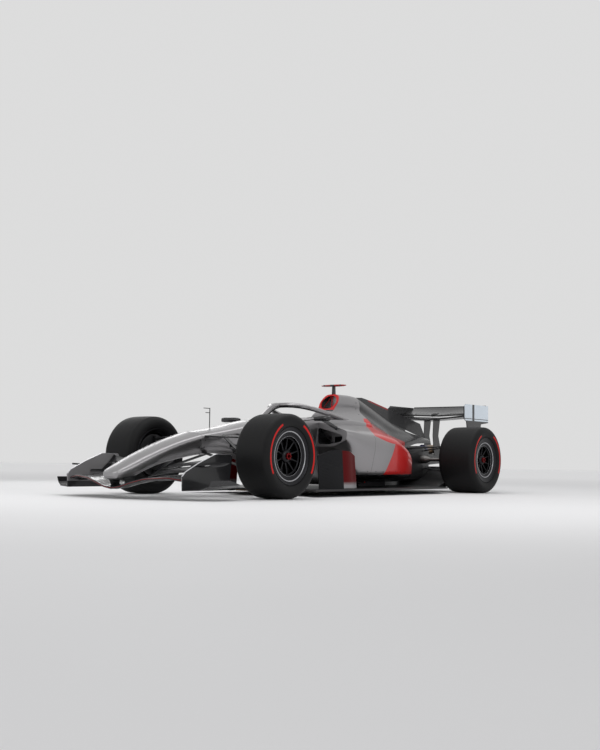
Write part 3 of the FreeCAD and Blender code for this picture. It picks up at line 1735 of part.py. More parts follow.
def driveshaft(label, left):
    place = wheel_place(left, False)
    body = new_body(label, place)
    inner = Size.of(shaft_inner_y) - rear_track_y
    outer = hub_cap_y - rear_track_y
    drum_inner = drum_span(rear_track_y, d.rear_rim_width)[0] - rear_track_y
    boot_end = inner + d.driveshaft_boot_length
    sketch = polygon_sketch(
        body,
        "XY_Plane",
        "ShaftProfile",
        [
            (0, inner),
            (d.driveshaft_boot_radius, inner),
            (d.driveshaft_boot_radius, inner + d.driveshaft_boot_length / 2),
            (d.driveshaft_radius, boot_end),
            (d.driveshaft_radius, outer),
            (0, outer),
        ],
    )
    revolution(body, sketch, "Y_Axis")
    return drum_inner


driveshaft("driveshaft_left", True)
driveshaft("driveshaft_right", False)

# Steering wheel on its column
wheel_centre = Vector(back(0.305), 0, up(0.600))
column_foot = Vector(back(CAVITY_SHARES[0]) - float(d.fit_gap), 0, up(0.520))
column_way = Vector(wheel_centre - column_foot).normalize()
column_across = Vector(0, 1, 0)
column_up = column_way.cross(column_across).normalize()
if column_up.z < 0:
    column_up = -column_up
WHEEL_OUTLINE_SHARES = [
    (0.30, 0.50),
    (0.84, 0.46),
    (1.00, 0.20),
    (1.00, -0.30),
    (0.80, -0.50),
    (0.30, -0.42),
]
half_wheel = [(y, z) for y, z in WHEEL_OUTLINE_SHARES]
outline = half_wheel + [(-y, z) for y, z in reversed(half_wheel)]
rim_points = [
    wheel_centre
    + column_across * (float(d.steering_wheel_width) / 2 * y)
    + column_up * (float(d.steering_wheel_height) * z)
    for y, z in outline
]
wheel_plate = Part.Face(soft_wire(rim_points, [float(d.steering_wheel_thickness)] * len(rim_points)))
wheel_plate = wheel_plate.extrude(column_way * float(d.steering_wheel_thickness))
window_points = [(0.56, 0.20), (0.80, 0.10), (0.80, -0.22), (0.56, -0.18)]
holes = []
for sign in (1, -1):
    points = [
        wheel_centre
        + column_across * (sign * float(d.steering_wheel_width) / 2 * y)
        + column_up * (float(d.steering_wheel_height) * z)
        - column_way * float(d.overrun)
        for y, z in window_points
    ]
    face = Part.Face(soft_wire(points, [float(d.steering_wheel_thickness) / 3] * 4))
    holes.append(face.extrude(column_way * (float(d.overrun) * 3)))
end_setback = float(d.steering_column_radius) * column_way.z / abs(column_way.x)
column = rod(column_foot + column_way * end_setback, wheel_centre, d.steering_column_radius)
steering = wheel_plate.cut(Part.makeCompound(holes)).fuse(column)
feature("steering_wheel", one_solid(steering))

# Mirrors on their stays, the camera on the hoop and the pitot tube on the nose
# Columns: place across the mirror's width, and depth and height of the housing there
MIRROR_SHARES = [
    (0.00, 0.50, 0.50),
    (0.12, 0.85, 0.90),
    (0.75, 1.00, 1.00),
    (0.94, 0.85, 0.85),
    (1.00, 0.55, 0.50),
]
MIRROR_SWEEP_SHARE = 0.35
mirror_back_x = back(0.276)
mirror_inner_y = side(0.480)
mirror_z = up(0.706)


def mirror_wire(place, depth_share, height_share):
    """A section of the housing: flat at the glass, behind, and rounded in front."""
    y = mirror_inner_y + float(d.mirror_width) * place
    glass_x = mirror_back_x - float(d.mirror_depth) * MIRROR_SWEEP_SHARE * (1 - place)
    nose_x = glass_x + float(d.mirror_depth) * depth_share
    half = float(d.mirror_height) / 2 * height_share
    points = [
        Vector(glass_x, y, mirror_z + half),
        Vector(nose_x, y, mirror_z + half),
        Vector(nose_x, y, mirror_z - half),
        Vector(glass_x, y, mirror_z - half),
    ]
    return soft_wire(points, [half / 4, half, half, half / 4])


mirror_body = loft([mirror_wire(*row) for row in MIRROR_SHARES])
stay_start = Vector(
    mirror_back_x + float(d.mirror_depth) * MIRROR_SWEEP_SHARE,
    mirror_inner_y + float(d.mirror_width) / 2,
    mirror_z,
)
stay_sizes = (d.mirror_depth / 2, d.mirror_stay_thickness, Vector(1, 0, 0))
stays = [
    blade(stay_start, Vector(stay_start.x, tub(0.6), up(0.672)), *stay_sizes),
    blade(stay_start, Vector(back(0.362), side(0.56), up(0.610)), *stay_sizes),
]
mirror = one_solid(mirror_body.multiFuse(stays).cut(cell_outer).cut(pod))
feature("mirrors", both_sides(mirror))

camera_x = back(0.552)
camera_z = up(0.995) + float(d.camera_stalk_height)
camera_half = float(d.camera_span) / 2
camera_chord = float(d.camera_chord)
CAMERA_SHARES = [(0.0, 1.0), (0.45, 0.95), (0.8, 0.8), (1.0, 0.45)]
CAMERA_THICKNESS_SHARE = 0.34
STALK_HALF_SHARE = 0.14
STALK_FOOT_SHARE = 0.94
STALK_TAPER_SHARE = 0.75
pods = wing(
    full_span(
        [
            (
                camera_half * y,
                camera_x + camera_chord * chord / 2,
                camera_z,
                camera_x - camera_chord * chord / 2,
                camera_z,
            )
            for y, chord in CAMERA_SHARES
        ]
    ),
    CAMERA_THICKNESS_SHARE,
    0,
)
stalk_wires = [
    oval(
        Vector(camera_x, 0, height),
        Vector(camera_chord * chord_share / 2, 0, 0),
        Vector(0, camera_chord * STALK_HALF_SHARE, 0),
    )
    for height, chord_share in ((up(STALK_FOOT_SHARE), 1.1), (camera_z, STALK_TAPER_SHARE))
]
stalk = loft(stalk_wires)
camera = one_solid(pods.fuse(stalk).cut(hoop_body).cut(roll_hoop))
feature("camera_pod", camera)

# Pitot tube: a post with two forward tubes
PITOT_STATION_SHARE = 0.006
PITOT_FOOT_SHARE = 0.56
PITOT_SKIN_SHARE = 0.593
PITOT_REACH_SHARES = [
    (1.00, 0.45),
    (0.78, 0.30),
]
PITOT_TUBE_SHARE = 0.8
pitot_x = back(PITOT_STATION_SHARE)
pitot_foot = Vector(pitot_x, 0, up(PITOT_FOOT_SHARE))
pitot_top = Vector(pitot_x, 0, up(PITOT_SKIN_SHARE) + float(d.pitot_height))
pitot_tubes = []
for height_share, reach_share in PITOT_REACH_SHARES:
    drop = float(d.pitot_height) * (1 - height_share) + float(d.pitot_radius)
    start = pitot_top - Vector(0, 0, drop)
    tip = start + Vector(float(d.pitot_height) * reach_share, 0, 0)
    pitot_tubes.append(rod(start, tip, d.pitot_radius * PITOT_TUBE_SHARE))
pitot = rod(pitot_foot, pitot_top, d.pitot_radius).multiFuse(pitot_tubes)
feature("pitot_tube", one_solid(pitot.cut(cell_outer)))

# Check every object, then write one file for each sub-part
HELPERS = {"rear_plate_profile"}
doc.recompute()
os.makedirs("parts", exist_ok=True)
parts = []
for item in doc.Objects:
    if {"Invalid", "Error"} & set(item.State):
        raise RuntimeError(f"{item.Label} did not compute")
    is_piece = item.TypeId in ("PartDesign::Body", "Part::Feature", "Part::Box")
    if is_piece and item.Label not in HELPERS:
        parts.append(item)
for item in parts:
    shape = item.Shape
    if shape.isNull() or not shape.isValid() or not shape.Solids:
        raise RuntimeError(f"{item.Label} is not a valid solid")
    shape.exportStep(f"parts/{item.Label}.step")
    size = shape.optimalBoundingBox()
    print(f"{item.Label:24s} solids {len(shape.Solids)} faces {len(shape.Faces):4d} "
          f"volume {shape.Volume / 1e6:9.3f} l  x {size.XMin:8.1f} {size.XMax:8.1f}  "
          f"y {size.YMin:7.1f} {size.YMax:7.1f}  z {size.ZMin:6.1f} {size.ZMax:6.1f}")
print(len(parts), "sub-parts")
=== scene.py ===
# %% [markdown]
# # Open wheel racing car
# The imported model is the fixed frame: every solid of the car stands where it was built, in metres,
# with X forwards, Y to the car's left and Z up. This file dresses that frame. It keeps the bodywork,
# gives each part a procedural finish, and puts finer pieces in place of the plain ones.

# %% Load the frame
import json
import math

import bmesh
import bpy
import numpy as np
from mathutils import Matrix, Vector
from mathutils.bvhtree import BVHTree


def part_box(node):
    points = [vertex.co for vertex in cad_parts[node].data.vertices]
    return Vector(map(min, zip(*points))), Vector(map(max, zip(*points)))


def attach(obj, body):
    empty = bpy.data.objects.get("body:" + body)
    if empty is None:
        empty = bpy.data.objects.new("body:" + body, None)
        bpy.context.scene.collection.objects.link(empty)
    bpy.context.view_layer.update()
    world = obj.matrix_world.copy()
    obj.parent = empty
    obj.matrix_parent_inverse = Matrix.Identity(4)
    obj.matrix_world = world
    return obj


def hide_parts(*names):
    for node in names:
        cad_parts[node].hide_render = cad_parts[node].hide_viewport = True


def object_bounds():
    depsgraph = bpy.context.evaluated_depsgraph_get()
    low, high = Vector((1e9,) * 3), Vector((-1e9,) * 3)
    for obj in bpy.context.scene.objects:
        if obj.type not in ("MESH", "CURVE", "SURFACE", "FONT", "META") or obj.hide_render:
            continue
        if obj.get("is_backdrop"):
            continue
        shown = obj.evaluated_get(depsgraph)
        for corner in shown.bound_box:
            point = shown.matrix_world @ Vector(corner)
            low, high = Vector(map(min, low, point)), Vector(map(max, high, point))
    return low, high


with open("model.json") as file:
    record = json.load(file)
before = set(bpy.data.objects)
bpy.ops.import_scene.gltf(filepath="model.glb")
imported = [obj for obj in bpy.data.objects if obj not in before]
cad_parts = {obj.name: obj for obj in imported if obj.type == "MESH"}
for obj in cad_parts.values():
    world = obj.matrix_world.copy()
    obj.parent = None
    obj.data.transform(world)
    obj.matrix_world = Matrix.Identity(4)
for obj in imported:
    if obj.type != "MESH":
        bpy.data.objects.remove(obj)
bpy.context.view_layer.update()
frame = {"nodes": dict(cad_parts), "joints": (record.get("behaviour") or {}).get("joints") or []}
nodes = frame["nodes"]
joints = {joint["name"]: joint for joint in frame["joints"]}
print("solids in the frame:", len(nodes))

# %% [markdown]
# ## Where things are
# The wheels' joints say where the hubs are, and each solid's box says how far it reaches. Places
# could be typed in as numbers, but the wheels, pads and strips read them from the frame, so that
# they follow it if it changes.

# %% Places and sizes read from the frame
ENDS = ("front", "rear")
SIDES = {"left": 1, "right": -1}
BOTH_SIGNS = (1, -1)
CORNERS = [(end, side) for end in ENDS for side in SIDES]
hub = {(end, side): Vector(joints[f"{end}_wheel_{side}_spin"]["pos_m"]) for end, side in CORNERS}
front_axle_x = hub["front", "left"].x
rear_axle_x = hub["rear", "left"].x
print("wheelbase:", round(front_axle_x - rear_axle_x, 3), "m")

# %% [markdown]
# ## Camera
# The viewpoint stands low beside the front left wheel and looks back along the car. Its place and
# angles come from a fit of the tyres, the nose and the rear wing to the photograph. A matrix is set
# whole, because three angles about turned axes are easy to get wrong.

# %% Camera at floor level
FRAME_LONG_SIDE = 750
FOCAL_PIXELS = 1043.86
SENSOR = 36.0
FURTHEST_SEEN = 100
CAMERA_FROM_FRONT_AXLE = Vector((6.747, 6.206, 0.308))
CAMERA_YAW, CAMERA_PITCH, CAMERA_ROLL = 3.798, 0.083, 0.014


def camera_matrix(place, yaw, pitch, roll):
    """Columns are right, up and backwards: forwards is the direction of yaw and pitch, and roll
    turns right and up about it."""
    forwards = Vector(
        (math.cos(yaw) * math.cos(pitch), math.sin(yaw) * math.cos(pitch), math.sin(pitch))
    )
    right = forwards.cross(Vector((0, 0, 1))).normalized()
    upwards = right.cross(forwards)
    turned_right = right * math.cos(roll) + upwards * math.sin(roll)
    turned_up = upwards * math.cos(roll) - right * math.sin(roll)
    columns = Matrix((turned_right, turned_up, -forwards)).transposed().to_4x4()
    return Matrix.Translation(place) @ columns


lens = bpy.data.cameras.new("viewpoint")
lens.sensor_width = SENSOR
lens.lens = SENSOR * FOCAL_PIXELS / FRAME_LONG_SIDE
lens.clip_end = FURTHEST_SEEN
viewpoint = bpy.data.objects.new("viewpoint", lens)
camera_place = CAMERA_FROM_FRONT_AXLE + Vector((front_axle_x, 0, 0))
viewpoint.matrix_world = camera_matrix(camera_place, CAMERA_YAW, CAMERA_PITCH, CAMERA_ROLL)
bpy.context.scene.collection.objects.link(viewpoint)
bpy.context.scene.camera = viewpoint
print("camera lens:", round(lens.lens, 1), "mm")

# %% [markdown]
# ## Shader maths
# A procedural finish is arithmetic on coordinates. It could be wired node by node, which is long
# and hard to read. The small class below wraps a socket instead, so that an expression such as
# `1 - mask * 0.5` adds the Math nodes that work it out.

# %% Sockets as numbers
class Signal:
    """One output socket of a finish's node tree, with the arithmetic of Math nodes."""

    def __init__(self, finish, socket):
        self.finish, self.socket = finish, socket

    def math(self, operation, *others):
        values = dict(enumerate((self, *others)))
        return self.finish.node("ShaderNodeMath", {"operation": operation}, values)

    def __add__(self, other):
        return self.math("ADD", other)

    def __sub__(self, other):
        return self.math("SUBTRACT", other)

    def __rsub__(self, other):
        return self.finish.node("ShaderNodeMath", {"operation": "SUBTRACT"}, {0: other, 1: self})

    def __mul__(self, other):
        return self.math("MULTIPLY", other)

    def __truediv__(self, other):
        return self.math("DIVIDE", other)

    def __or__(self, other):
        """The greater of two values: of two masks, the places that either one covers."""
        return self.math("MAXIMUM", other)

    def __abs__(self):
        return self.math("ABSOLUTE")

    __radd__, __rmul__ = __add__, __mul__

    def kept_in(self):
        """The value, held between 0 and 1."""
        return (self | 0).math("MINIMUM", 1)

    def below(self, edge, soft=0.002):
        """1 where the value is under the edge and 0 over it, with a ramp as wide as soft."""
        return ((edge - self) / soft + 0.5).kept_in()

    def above(self, edge, soft=0.002):
        """0 under the edge and 1 over it, with the same ramp."""
        return 1 - self.below(edge, soft)

    def between(self, low, high, soft=0.002):
        return self.above(low, soft) * self.below(high, soft)

    def fraction(self):
        return self.math("FRACT")

    def root(self):
        return self.math("SQRT")


print("a socket can be added, scaled, compared and masked")

# %% A finish under construction
NORMAL_OUTPUT, OBJECT_OUTPUT = 1, 3


class Finish:
    """A material under construction: one Principled shader and the nodes that feed it."""

    def __init__(self, name, **constants):
        self.material = bpy.data.materials.new(name)
        self.material.use_nodes = True
        self.tree = self.material.node_tree
        self.tree.nodes.clear()
        self.shader = self.tree.nodes.new("ShaderNodeBsdfPrincipled")
        output = self.tree.nodes.new("ShaderNodeOutputMaterial")
        self.tree.links.new(self.shader.outputs[0], output.inputs["Surface"])
        for key, value in constants.items():
            title = " ".join("IOR" if word == "ior" else word.title() for word in key.split("_"))
            self.put(title, value)

    def feed(self, socket, value):
        """Links a signal to a socket, or sets the socket to a number or a colour."""
        if isinstance(value, Signal):
            self.tree.links.new(value.socket, socket)
        elif socket.type == "RGBA" and len(value) == 3:
            socket.default_value = (*value, 1)
        else:
            socket.default_value = value

    def put(self, name, value):
        """Sets or links one input of the Principled shader."""
        self.feed(self.shader.inputs[name], value)

    def node(self, kind, settings=None, values=None, out=0):
        """Adds a node: its settings first, then the values or links of its sockets."""
        made = self.tree.nodes.new(kind)
        for key, value in (settings or {}).items():
            setattr(made, key, value)
        for key, value in (values or {}).items():
            self.feed(made.inputs[key], value)
        return Signal(self, made.outputs[out])

    def place(self, out=OBJECT_OUTPUT):
        """X, Y and Z of the point in metres in the car's frame, or of the surface's direction."""
        where = self.node("ShaderNodeTexCoord", out=out)
        split = self.node("ShaderNodeSeparateXYZ", values={0: where})
        return [Signal(self, axis) for axis in split.socket.node.outputs]

    def faces_inwards(self, y, z, centre_y, centre_z):
        """1 where the surface turns towards a line along X on each side of the car: the slope's
        direction points back to the line's Y and Z, on the near side of the middle."""
        _, normal_y, normal_z = self.place(NORMAL_OUTPUT)
        across = (abs(y) - centre_y) * normal_y * y.math("SIGN")
        return (across + (z - centre_z) * normal_z).below(-0.001, 0.002)

    def noise(self, scale, detail=2.0, rough=0.5, stretch=(1, 1, 1)):
        """Soft noise from 0 to 1, with about scale lumps in a metre."""
        where = self.node("ShaderNodeTexCoord", out=OBJECT_OUTPUT)
        laid = self.node("ShaderNodeMapping", values={"Vector": where, "Scale": stretch})
        values = {"Vector": laid, "Scale": scale, "Detail": detail, "Roughness": rough}
        return self.node("ShaderNodeTexNoise", values=values)

    def mix(self, share, first, second):
        """Colour that goes from first to second as share goes from 0 to 1."""
        values = {0: share, 6: first, 7: second}
        return self.node("ShaderNodeMix", {"data_type": "RGBA"}, values, out=2)

    def bump(self, height, depth):
        """Puts a height of depth metres on the surface."""
        values = {"Height": height, "Strength": 1.0, "Distance": depth}
        self.put("Normal", self.node("ShaderNodeBump", values=values))


print("shader maths ready")

# %% [markdown]
# ## Finishes
# The car wears silver lacquer, bare gloss carbon and one red. Lacquer is a metallic base with fine
# flake under a clear coat. Its stripes could be separate skins laid over the body, but those would
# stand proud, so each stripe is a place on the car: a mask on X, Y and Z.

# %% Colours
SILVER, SILVER_LIGHT = (0.275, 0.268, 0.274), (0.35, 0.342, 0.35)
RED, RED_DARK = (0.56, 0.004, 0.003), (0.46, 0.003, 0.003)
# The two deep reds are the livery red darkened as painted shade for the floor boards; the first also serves
# as the darker red on carbon.
DEEP_RED, SHADED_BOARD_RED = (0.100, 0.002, 0.003), (0.075, 0.001, 0.002)
CARBON, CARBON_LIGHT = (0.010, 0.010, 0.011), (0.020, 0.020, 0.022)
RUBBER, RUBBER_GREY = (0.005, 0.005, 0.0055), (0.011, 0.011, 0.0115)
ARC_RED = (0.52, 0.008, 0.006)
GAP_BLACK = (0.008, 0.008, 0.009)
PALE_PANEL = (0.72, 0.80, 0.88)
print("paint tones chosen: silver, red, deep red, carbon, rubber and a pale panel")

# %% Silver lacquer and bare carbon
TOW_WIDTH = 0.003
FLAKE_SCALE, CLOUD_SCALE, DUST_SCALE, RIPPLE_SCALE = 1400, 3.0, 22, 260
DUST_TOP_Z, DUST_FADE = 0.30, 0.25
SEAM_HALF_WIDTH = 0.0011
COAT_ROUGHNESS = 0.05


def twill(finish, tow=TOW_WIDTH):
    """Woven carbon: diagonal steps of warp and weft, from 0 to 1. The tone is the sum of both
    directions, counted in whole tows, quartered, and folded by its fraction."""
    x, y, z = finish.place()
    along = x / tow
    across = (y + z) / tow
    step = ((along - along.fraction() + across - across.fraction()) * 0.25).fraction()
    return step.between(0.25, 0.75, 0.04)


def lacquer(
    name, fields=None, seams=(), roughness=0.30, red_tones=(RED, RED_DARK), metal_share=0.92, shine=0.32
):
    """Silver lacquer with flake, clouds and some dust low down. fields(finish, x, y, z) gives (mask
    of red, mask of black), and seams are thin gaps between panels at these X."""
    finish = Finish(name, coat_roughness=COAT_ROUGHNESS, specular_ior_level=shine)
    x, y, z = finish.place()
    flake = finish.noise(FLAKE_SCALE, 1.0)
    cloud = finish.noise(CLOUD_SCALE, 3.0)
    dust = finish.noise(DUST_SCALE, 4.0, 0.6) * z.below(DUST_TOP_Z, DUST_FADE)
    base = finish.mix(flake * 0.5 + cloud * 0.3, SILVER, SILVER_LIGHT)
    metal = metal_share + flake * 0.06
    gloss = roughness + cloud * 0.05 + dust * 0.14
    if fields:
        red, black = fields(finish, x, y, z)
        base = finish.mix(red, base, finish.mix(flake, *red_tones))
        base = finish.mix(black, base, finish.mix(twill(finish), CARBON, CARBON_LIGHT))
        metal = metal * (1 - red * 0.85) * (1 - black)
        gloss = gloss * (1 - black * 0.35)
    gap = x * 0
    for seam in seams:
        gap = gap | abs(x - seam).below(SEAM_HALF_WIDTH, 0.0008)
    finish.put("Base Color", finish.mix(gap, base, GAP_BLACK))
    finish.put("Metallic", metal * (1 - gap))
    finish.put("Roughness", gloss + gap * 0.4)
    finish.put("Coat Weight", (1 - gap) * shine)
    finish.bump(finish.noise(RIPPLE_SCALE, 2.0) * 0.02 - gap, 0.0012)
    return finish.material


def carbon(name, gloss=0.16, coat=0.45, fields=None):
    """Bare carbon under clear lacquer, or satin where the coat is thin. fields gives (mask of red,
    mask of the pale panel)."""
    finish = Finish(name, coat_roughness=COAT_ROUGHNESS, specular_ior_level=0.35)
    x, y, z = finish.place()
    weave = twill(finish)
    smear = finish.noise(7, 4.0, 0.6)
    base = finish.mix(weave, CARBON, CARBON_LIGHT)
    if fields:
        red, pale = fields(finish, x, y, z)
        base = finish.mix(red, base, finish.mix(smear, RED_DARK, DEEP_RED))
        base = finish.mix(pale, base, PALE_PANEL)
    finish.put("Base Color", base)
    finish.put("Roughness", gloss + weave * 0.05 + smear * 0.10)
    finish.put("Coat Weight", coat)
    finish.bump(weave * 0.5 + finish.noise(90, 2.0) * 0.3, 0.00025)
    return finish.material


print("tow width of the weave:", TOW_WIDTH * 1000, "mm")

# %% Where the red, black and silver lie on the body
WEDGE_RUN, WEDGE_START_X = 1.08, -0.775
SHOULDER_X, SHOULDER_Z, SHOULDER_CURVE = -0.45, 0.495, 0.42
SIDE_LINE_X, SIDE_LINE_Z, SIDE_LINE_SLOPE = -0.395, 0.46, 0.52
INLET_Y, INLET_Z = 0.50, 0.555
DUCT_X, DUCT_Y, DUCT_Z = (0.10, 0.372), (0.30, 0.645), (0.462, 0.66)
UNDERCUT_Z = 0.196
CELL_HEART_Z, CELL_FLOOR_Z, CELL_HALF_WIDTH = 0.62, 0.11, 0.30
COCKPIT_X = (-0.14, 1.30)
INTAKE_FRONT_X, INTAKE_LOW_Z, INTAKE_LEAN = -0.181, 0.832, 0.73
INTAKE_HEART_Z, INTAKE_FLOOR_Z, INTAKE_END_X = 0.915, 0.82, -0.45
HOOP_FOOT_Z = 0.76


def behind_wedge(x, y):
    """1 behind the line where the red begins on top of the bodywork. The line's X is the distance
    from the car's middle times a slope, plus the X where it starts."""
    return (x - (abs(y) * WEDGE_RUN + WEDGE_START_X)).below(0.0, 0.004)


def pod_fields(finish, x, y, z):
    """Red behind a slanting line on the pods' top, down to the shoulder, and behind a second line
    on their sides. The shoulder's height grows with the square of the run ahead of its lowest
    place. The inlet's duct and the undercut are black."""
    run = (x - SHOULDER_X) | 0
    over_shoulder = (z - run * run * SHOULDER_CURVE).above(SHOULDER_Z, 0.004)
    side = (x - (SIDE_LINE_Z - z) * SIDE_LINE_SLOPE).below(SIDE_LINE_X, 0.004)
    duct = finish.faces_inwards(y, z, INLET_Y, INLET_Z) * x.between(*DUCT_X)
    duct = duct * z.between(*DUCT_Z, 0.004) * abs(y).between(*DUCT_Y, 0.004)
    return over_shoulder * behind_wedge(x, y) | side, z.below(UNDERCUT_Z, 0.004) | duct


def cell_fields(finish, x, y, z):
    """The red wedge carried on over the cell's shoulder, and bare carbon inside the cockpit."""
    inside = finish.faces_inwards(y, z, 0, CELL_HEART_Z) * x.between(*COCKPIT_X)
    inside = inside * z.above(CELL_FLOOR_Z) * abs(y).below(CELL_HALF_WIDTH, 0.004)
    return behind_wedge(x, y), inside


def hoop_fields(finish, x, y, z):
    """Red lip round the air intake, the tip of the red wedge at the hoop's foot, and a black
    duct."""
    lip = (x + (z - INTAKE_LOW_Z) * INTAKE_LEAN).above(INTAKE_FRONT_X, 0.003)
    lip = lip * z.above(INTAKE_LOW_Z, 0.004)
    foot = behind_wedge(x, y) * z.below(HOOP_FOOT_Z, 0.01)
    duct = finish.faces_inwards(y, z, 0, INTAKE_HEART_Z) * z.above(INTAKE_FLOOR_Z, 0.004)
    return lip | foot, duct * x.above(INTAKE_END_X, 0.01) * (1 - lip)


print("the red begins at X", WEDGE_START_X, "in the middle of the car")

# %% Where the colours lie on the cover, the wings and the boards
FIN_SLOPE, FIN_EDGE, FIN_RED_GLINT_X = 0.20, 1.147, (-1.32, -0.93)
FLANK_SLOPE, FLANK_TOP = 0.235, 0.882
FLANK_FRONT_LEAN, FLANK_FRONT = 0.6, -1.13
CAMERA_STEM_HALF_WIDTH, CAMERA_ARM_Z = 0.026, 1.07
PANEL_LOW_Z, PANEL_FRONT_X, PANEL_OUTER_Y = 0.800, -2.13, 0.5055
PANEL_BAND_X, PANEL_LINE_Z = (-2.36, -2.31), (0.818, 0.826)
PLATE_OUTER_Y, PLATE_FOOT_Z = 0.6603, 0.125
BOARD_PAINT_X, BOARD_RED_Z, BOARD_FOOT_Z = 0.556, 0.118, 0.075


def cover_fields(finish, x, y, z):
    """A thin red line along the fin's top edge, painted as a red reflection, which falls by a fifth of
    its run, and the upper part of the red wedge on the cover's flanks."""
    # The red line on the fin's edge is a painted red reflection.
    line = (z - x * FIN_SLOPE).above(FIN_EDGE) * x.between(*FIN_RED_GLINT_X, 0.01)
    flank = (z - x * FLANK_SLOPE).below(FLANK_TOP, 0.003)
    return line | flank * (x + z * FLANK_FRONT_LEAN).above(FLANK_FRONT, 0.004), x * 0


def camera_fields(finish, x, y, z):
    """Dark red on both arms of the camera pod."""
    return abs(y).above(CAMERA_STEM_HALF_WIDTH) * z.above(CAMERA_ARM_Z), x * 0


def rear_plate_fields(finish, x, y, z):
    """A pale panel on the upper part of the outer faces, with a dark band across it and a thin
    dark line over its foot."""
    panel = z.above(PANEL_LOW_Z, 0.003) * x.below(PANEL_FRONT_X, 0.003)
    panel = panel * abs(y).above(PANEL_OUTER_Y, 0.0006)
    return x * 0, panel * (1 - (x.between(*PANEL_BAND_X, 0.004) | z.between(*PANEL_LINE_Z)))


def front_plate_fields(finish, x, y, z):
    """Silver on the inner faces, black outside and on the foot."""
    return x * 0, abs(y).above(PLATE_OUTER_Y, 0.0006) | z.below(PLATE_FOOT_Z, 0.004)


def board_fields(finish, x, y, z):
    """Red darkened into deep tones as painted shade, fading to silver near the foot, with bare
    carbon on the front half.
    """
    return z.above(BOARD_RED_Z, 0.035), x.above(BOARD_PAINT_X, 0.003) | z.below(BOARD_FOOT_Z)


print("fields placed on the cover, the camera pod, the plates and the boards")

# %% Lacquer and carbon for each part
NOSE_SEAM_INSET = 0.004
POD_SEAM_X = -0.02
nose_seam_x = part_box("nose_cone")[0].x + NOSE_SEAM_INSET
silver_nose = lacquer("silver_nose", seams=(nose_seam_x,))
silver_cell = lacquer("silver_cell", cell_fields)
silver_halo = lacquer("silver_halo", roughness=0.22)
silver_hoop = lacquer("silver_hoop", hoop_fields)
silver_pods = lacquer("silver_pods", pod_fields, seams=(POD_SEAM_X,))
# The boards' reds are the livery red darkened: painted shade.
silver_boards = lacquer(
    "silver_boards", board_fields, roughness=0.36, red_tones=(DEEP_RED, SHADED_BOARD_RED), shine=0.07
)
front_plate_finish = lacquer("front_plate_finish", front_plate_fields, metal_share=0.45)
gloss_carbon = carbon("gloss_carbon")
satin_carbon = carbon("satin_carbon", 0.38, 0.12)
cover_carbon = carbon("cover_carbon", 0.22, 0.35, cover_fields)
camera_carbon = carbon("camera_carbon", 0.30, 0.25, camera_fields)
rear_plate_carbon = carbon("rear_plate_carbon", 0.14, 0.45, rear_plate_fields)
print("lacquer and carbon ready")

# %% [markdown]
# ## Metals, wood and moulded parts
# Metal on a racing car is machined, cast, lacquered or coloured by heat. One colour would look like
# plastic, so each metal has two tones that drift into each other, and tool marks in its bump. The
# plank under the floor is pressed from thin boards, so its grain runs along the car.

# %% Metals
STAIN_SCALE = 9
STRAW, BROWN, BLUE_HEAT = (0.36, 0.31, 0.25), (0.30, 0.19, 0.10), (0.10, 0.11, 0.20)


def worked_metal(name, first, second, roughness, scale=120, stretch=(1, 1, 1)):
    """Machined or cast metal: two tones of noise, and tool marks in the bump."""
    finish = Finish(name)
    marks = finish.noise(scale, 3.0, 0.6, stretch)
    stain = finish.noise(STAIN_SCALE, 4.0, 0.65)
    finish.put("Base Color", finish.mix(stain, first, second))
    finish.put("Metallic", 1.0 - stain * 0.05)
    finish.put("Roughness", roughness + marks * 0.14 + stain * 0.06)
    finish.bump(marks, 0.0003)
    return finish.material


def tinted_steel(name, low_x, high_x):
    """Steel that heat has coloured: straw, then brown and blue towards the hot end. The heat is
    the share of the run from low_x to high_x, made uneven by noise."""
    finish = Finish(name)
    x, y, z = finish.place()
    heat = (x - low_x) / (high_x - low_x) + finish.noise(14, 3.0) * 0.3 - 0.15
    warm = finish.mix(heat.between(0.25, 0.75, 0.5), STRAW, BROWN)
    finish.put("Base Color", finish.mix(heat.above(0.8, 0.4), warm, BLUE_HEAT))
    finish.put("Metallic", 0.95 + heat * 0.02)
    finish.put("Roughness", 0.28 + finish.noise(60, 3.0) * 0.16)
    finish.bump(finish.noise(300, 2.0, 0.5, (1, 8, 8)), 0.0002)
    return finish.material


aluminium = worked_metal("machined_aluminium", (0.52, 0.53, 0.55), (0.40, 0.41, 0.43), 0.26)
dark_casting = worked_metal("dark_casting", (0.06, 0.06, 0.065), (0.03, 0.03, 0.032), 0.45, 60)
wheel_lacquer = worked_metal("wheel_lacquer", (0.030, 0.030, 0.033), (0.020, 0.020, 0.022), 0.24, 200)
red_anodised = worked_metal("red_anodised", (0.24, 0.008, 0.010), (0.15, 0.006, 0.008), 0.26, 180)
bright_edge = worked_metal("bright_edge", (0.80, 0.80, 0.82), (0.62, 0.62, 0.65), 0.20, 150)
ring_metal = worked_metal("ring_metal", (0.60, 0.60, 0.62), (0.30, 0.30, 0.32), 0.22, 150)
shaft_steel = worked_metal("shaft_steel", (0.22, 0.21, 0.20), (0.12, 0.12, 0.12), 0.34, 90, (1, 12, 1))
pipe_low, pipe_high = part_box("exhaust")
pipe_steel = tinted_steel("pipe_steel", pipe_low.x, pipe_high.x)
print("metals ready")

# %% Wood and mouldings
PLY_THICKNESS = 0.0025
BEECH, BEECH_DARK, GLUE_BROWN = (0.21, 0.13, 0.065), (0.10, 0.055, 0.025), (0.04, 0.025, 0.012)


def layered_plank(name):
    """Pressed beech boards: fine lengthwise grain and thin glue lines."""
    finish = Finish(name)
    x, y, z = finish.place()
    grain = finish.noise(70, 5.0, 0.6, (0.15, 1, 6))
    ply = (z / PLY_THICKNESS).fraction().below(0.18, 0.1)
    wood = finish.mix(grain, BEECH, BEECH_DARK)
    finish.put("Base Color", finish.mix(ply * 0.5, wood, GLUE_BROWN))
    finish.put("Roughness", 0.55 + grain * 0.25)
    finish.bump(grain + ply * 0.5, 0.0004)
    return finish.material


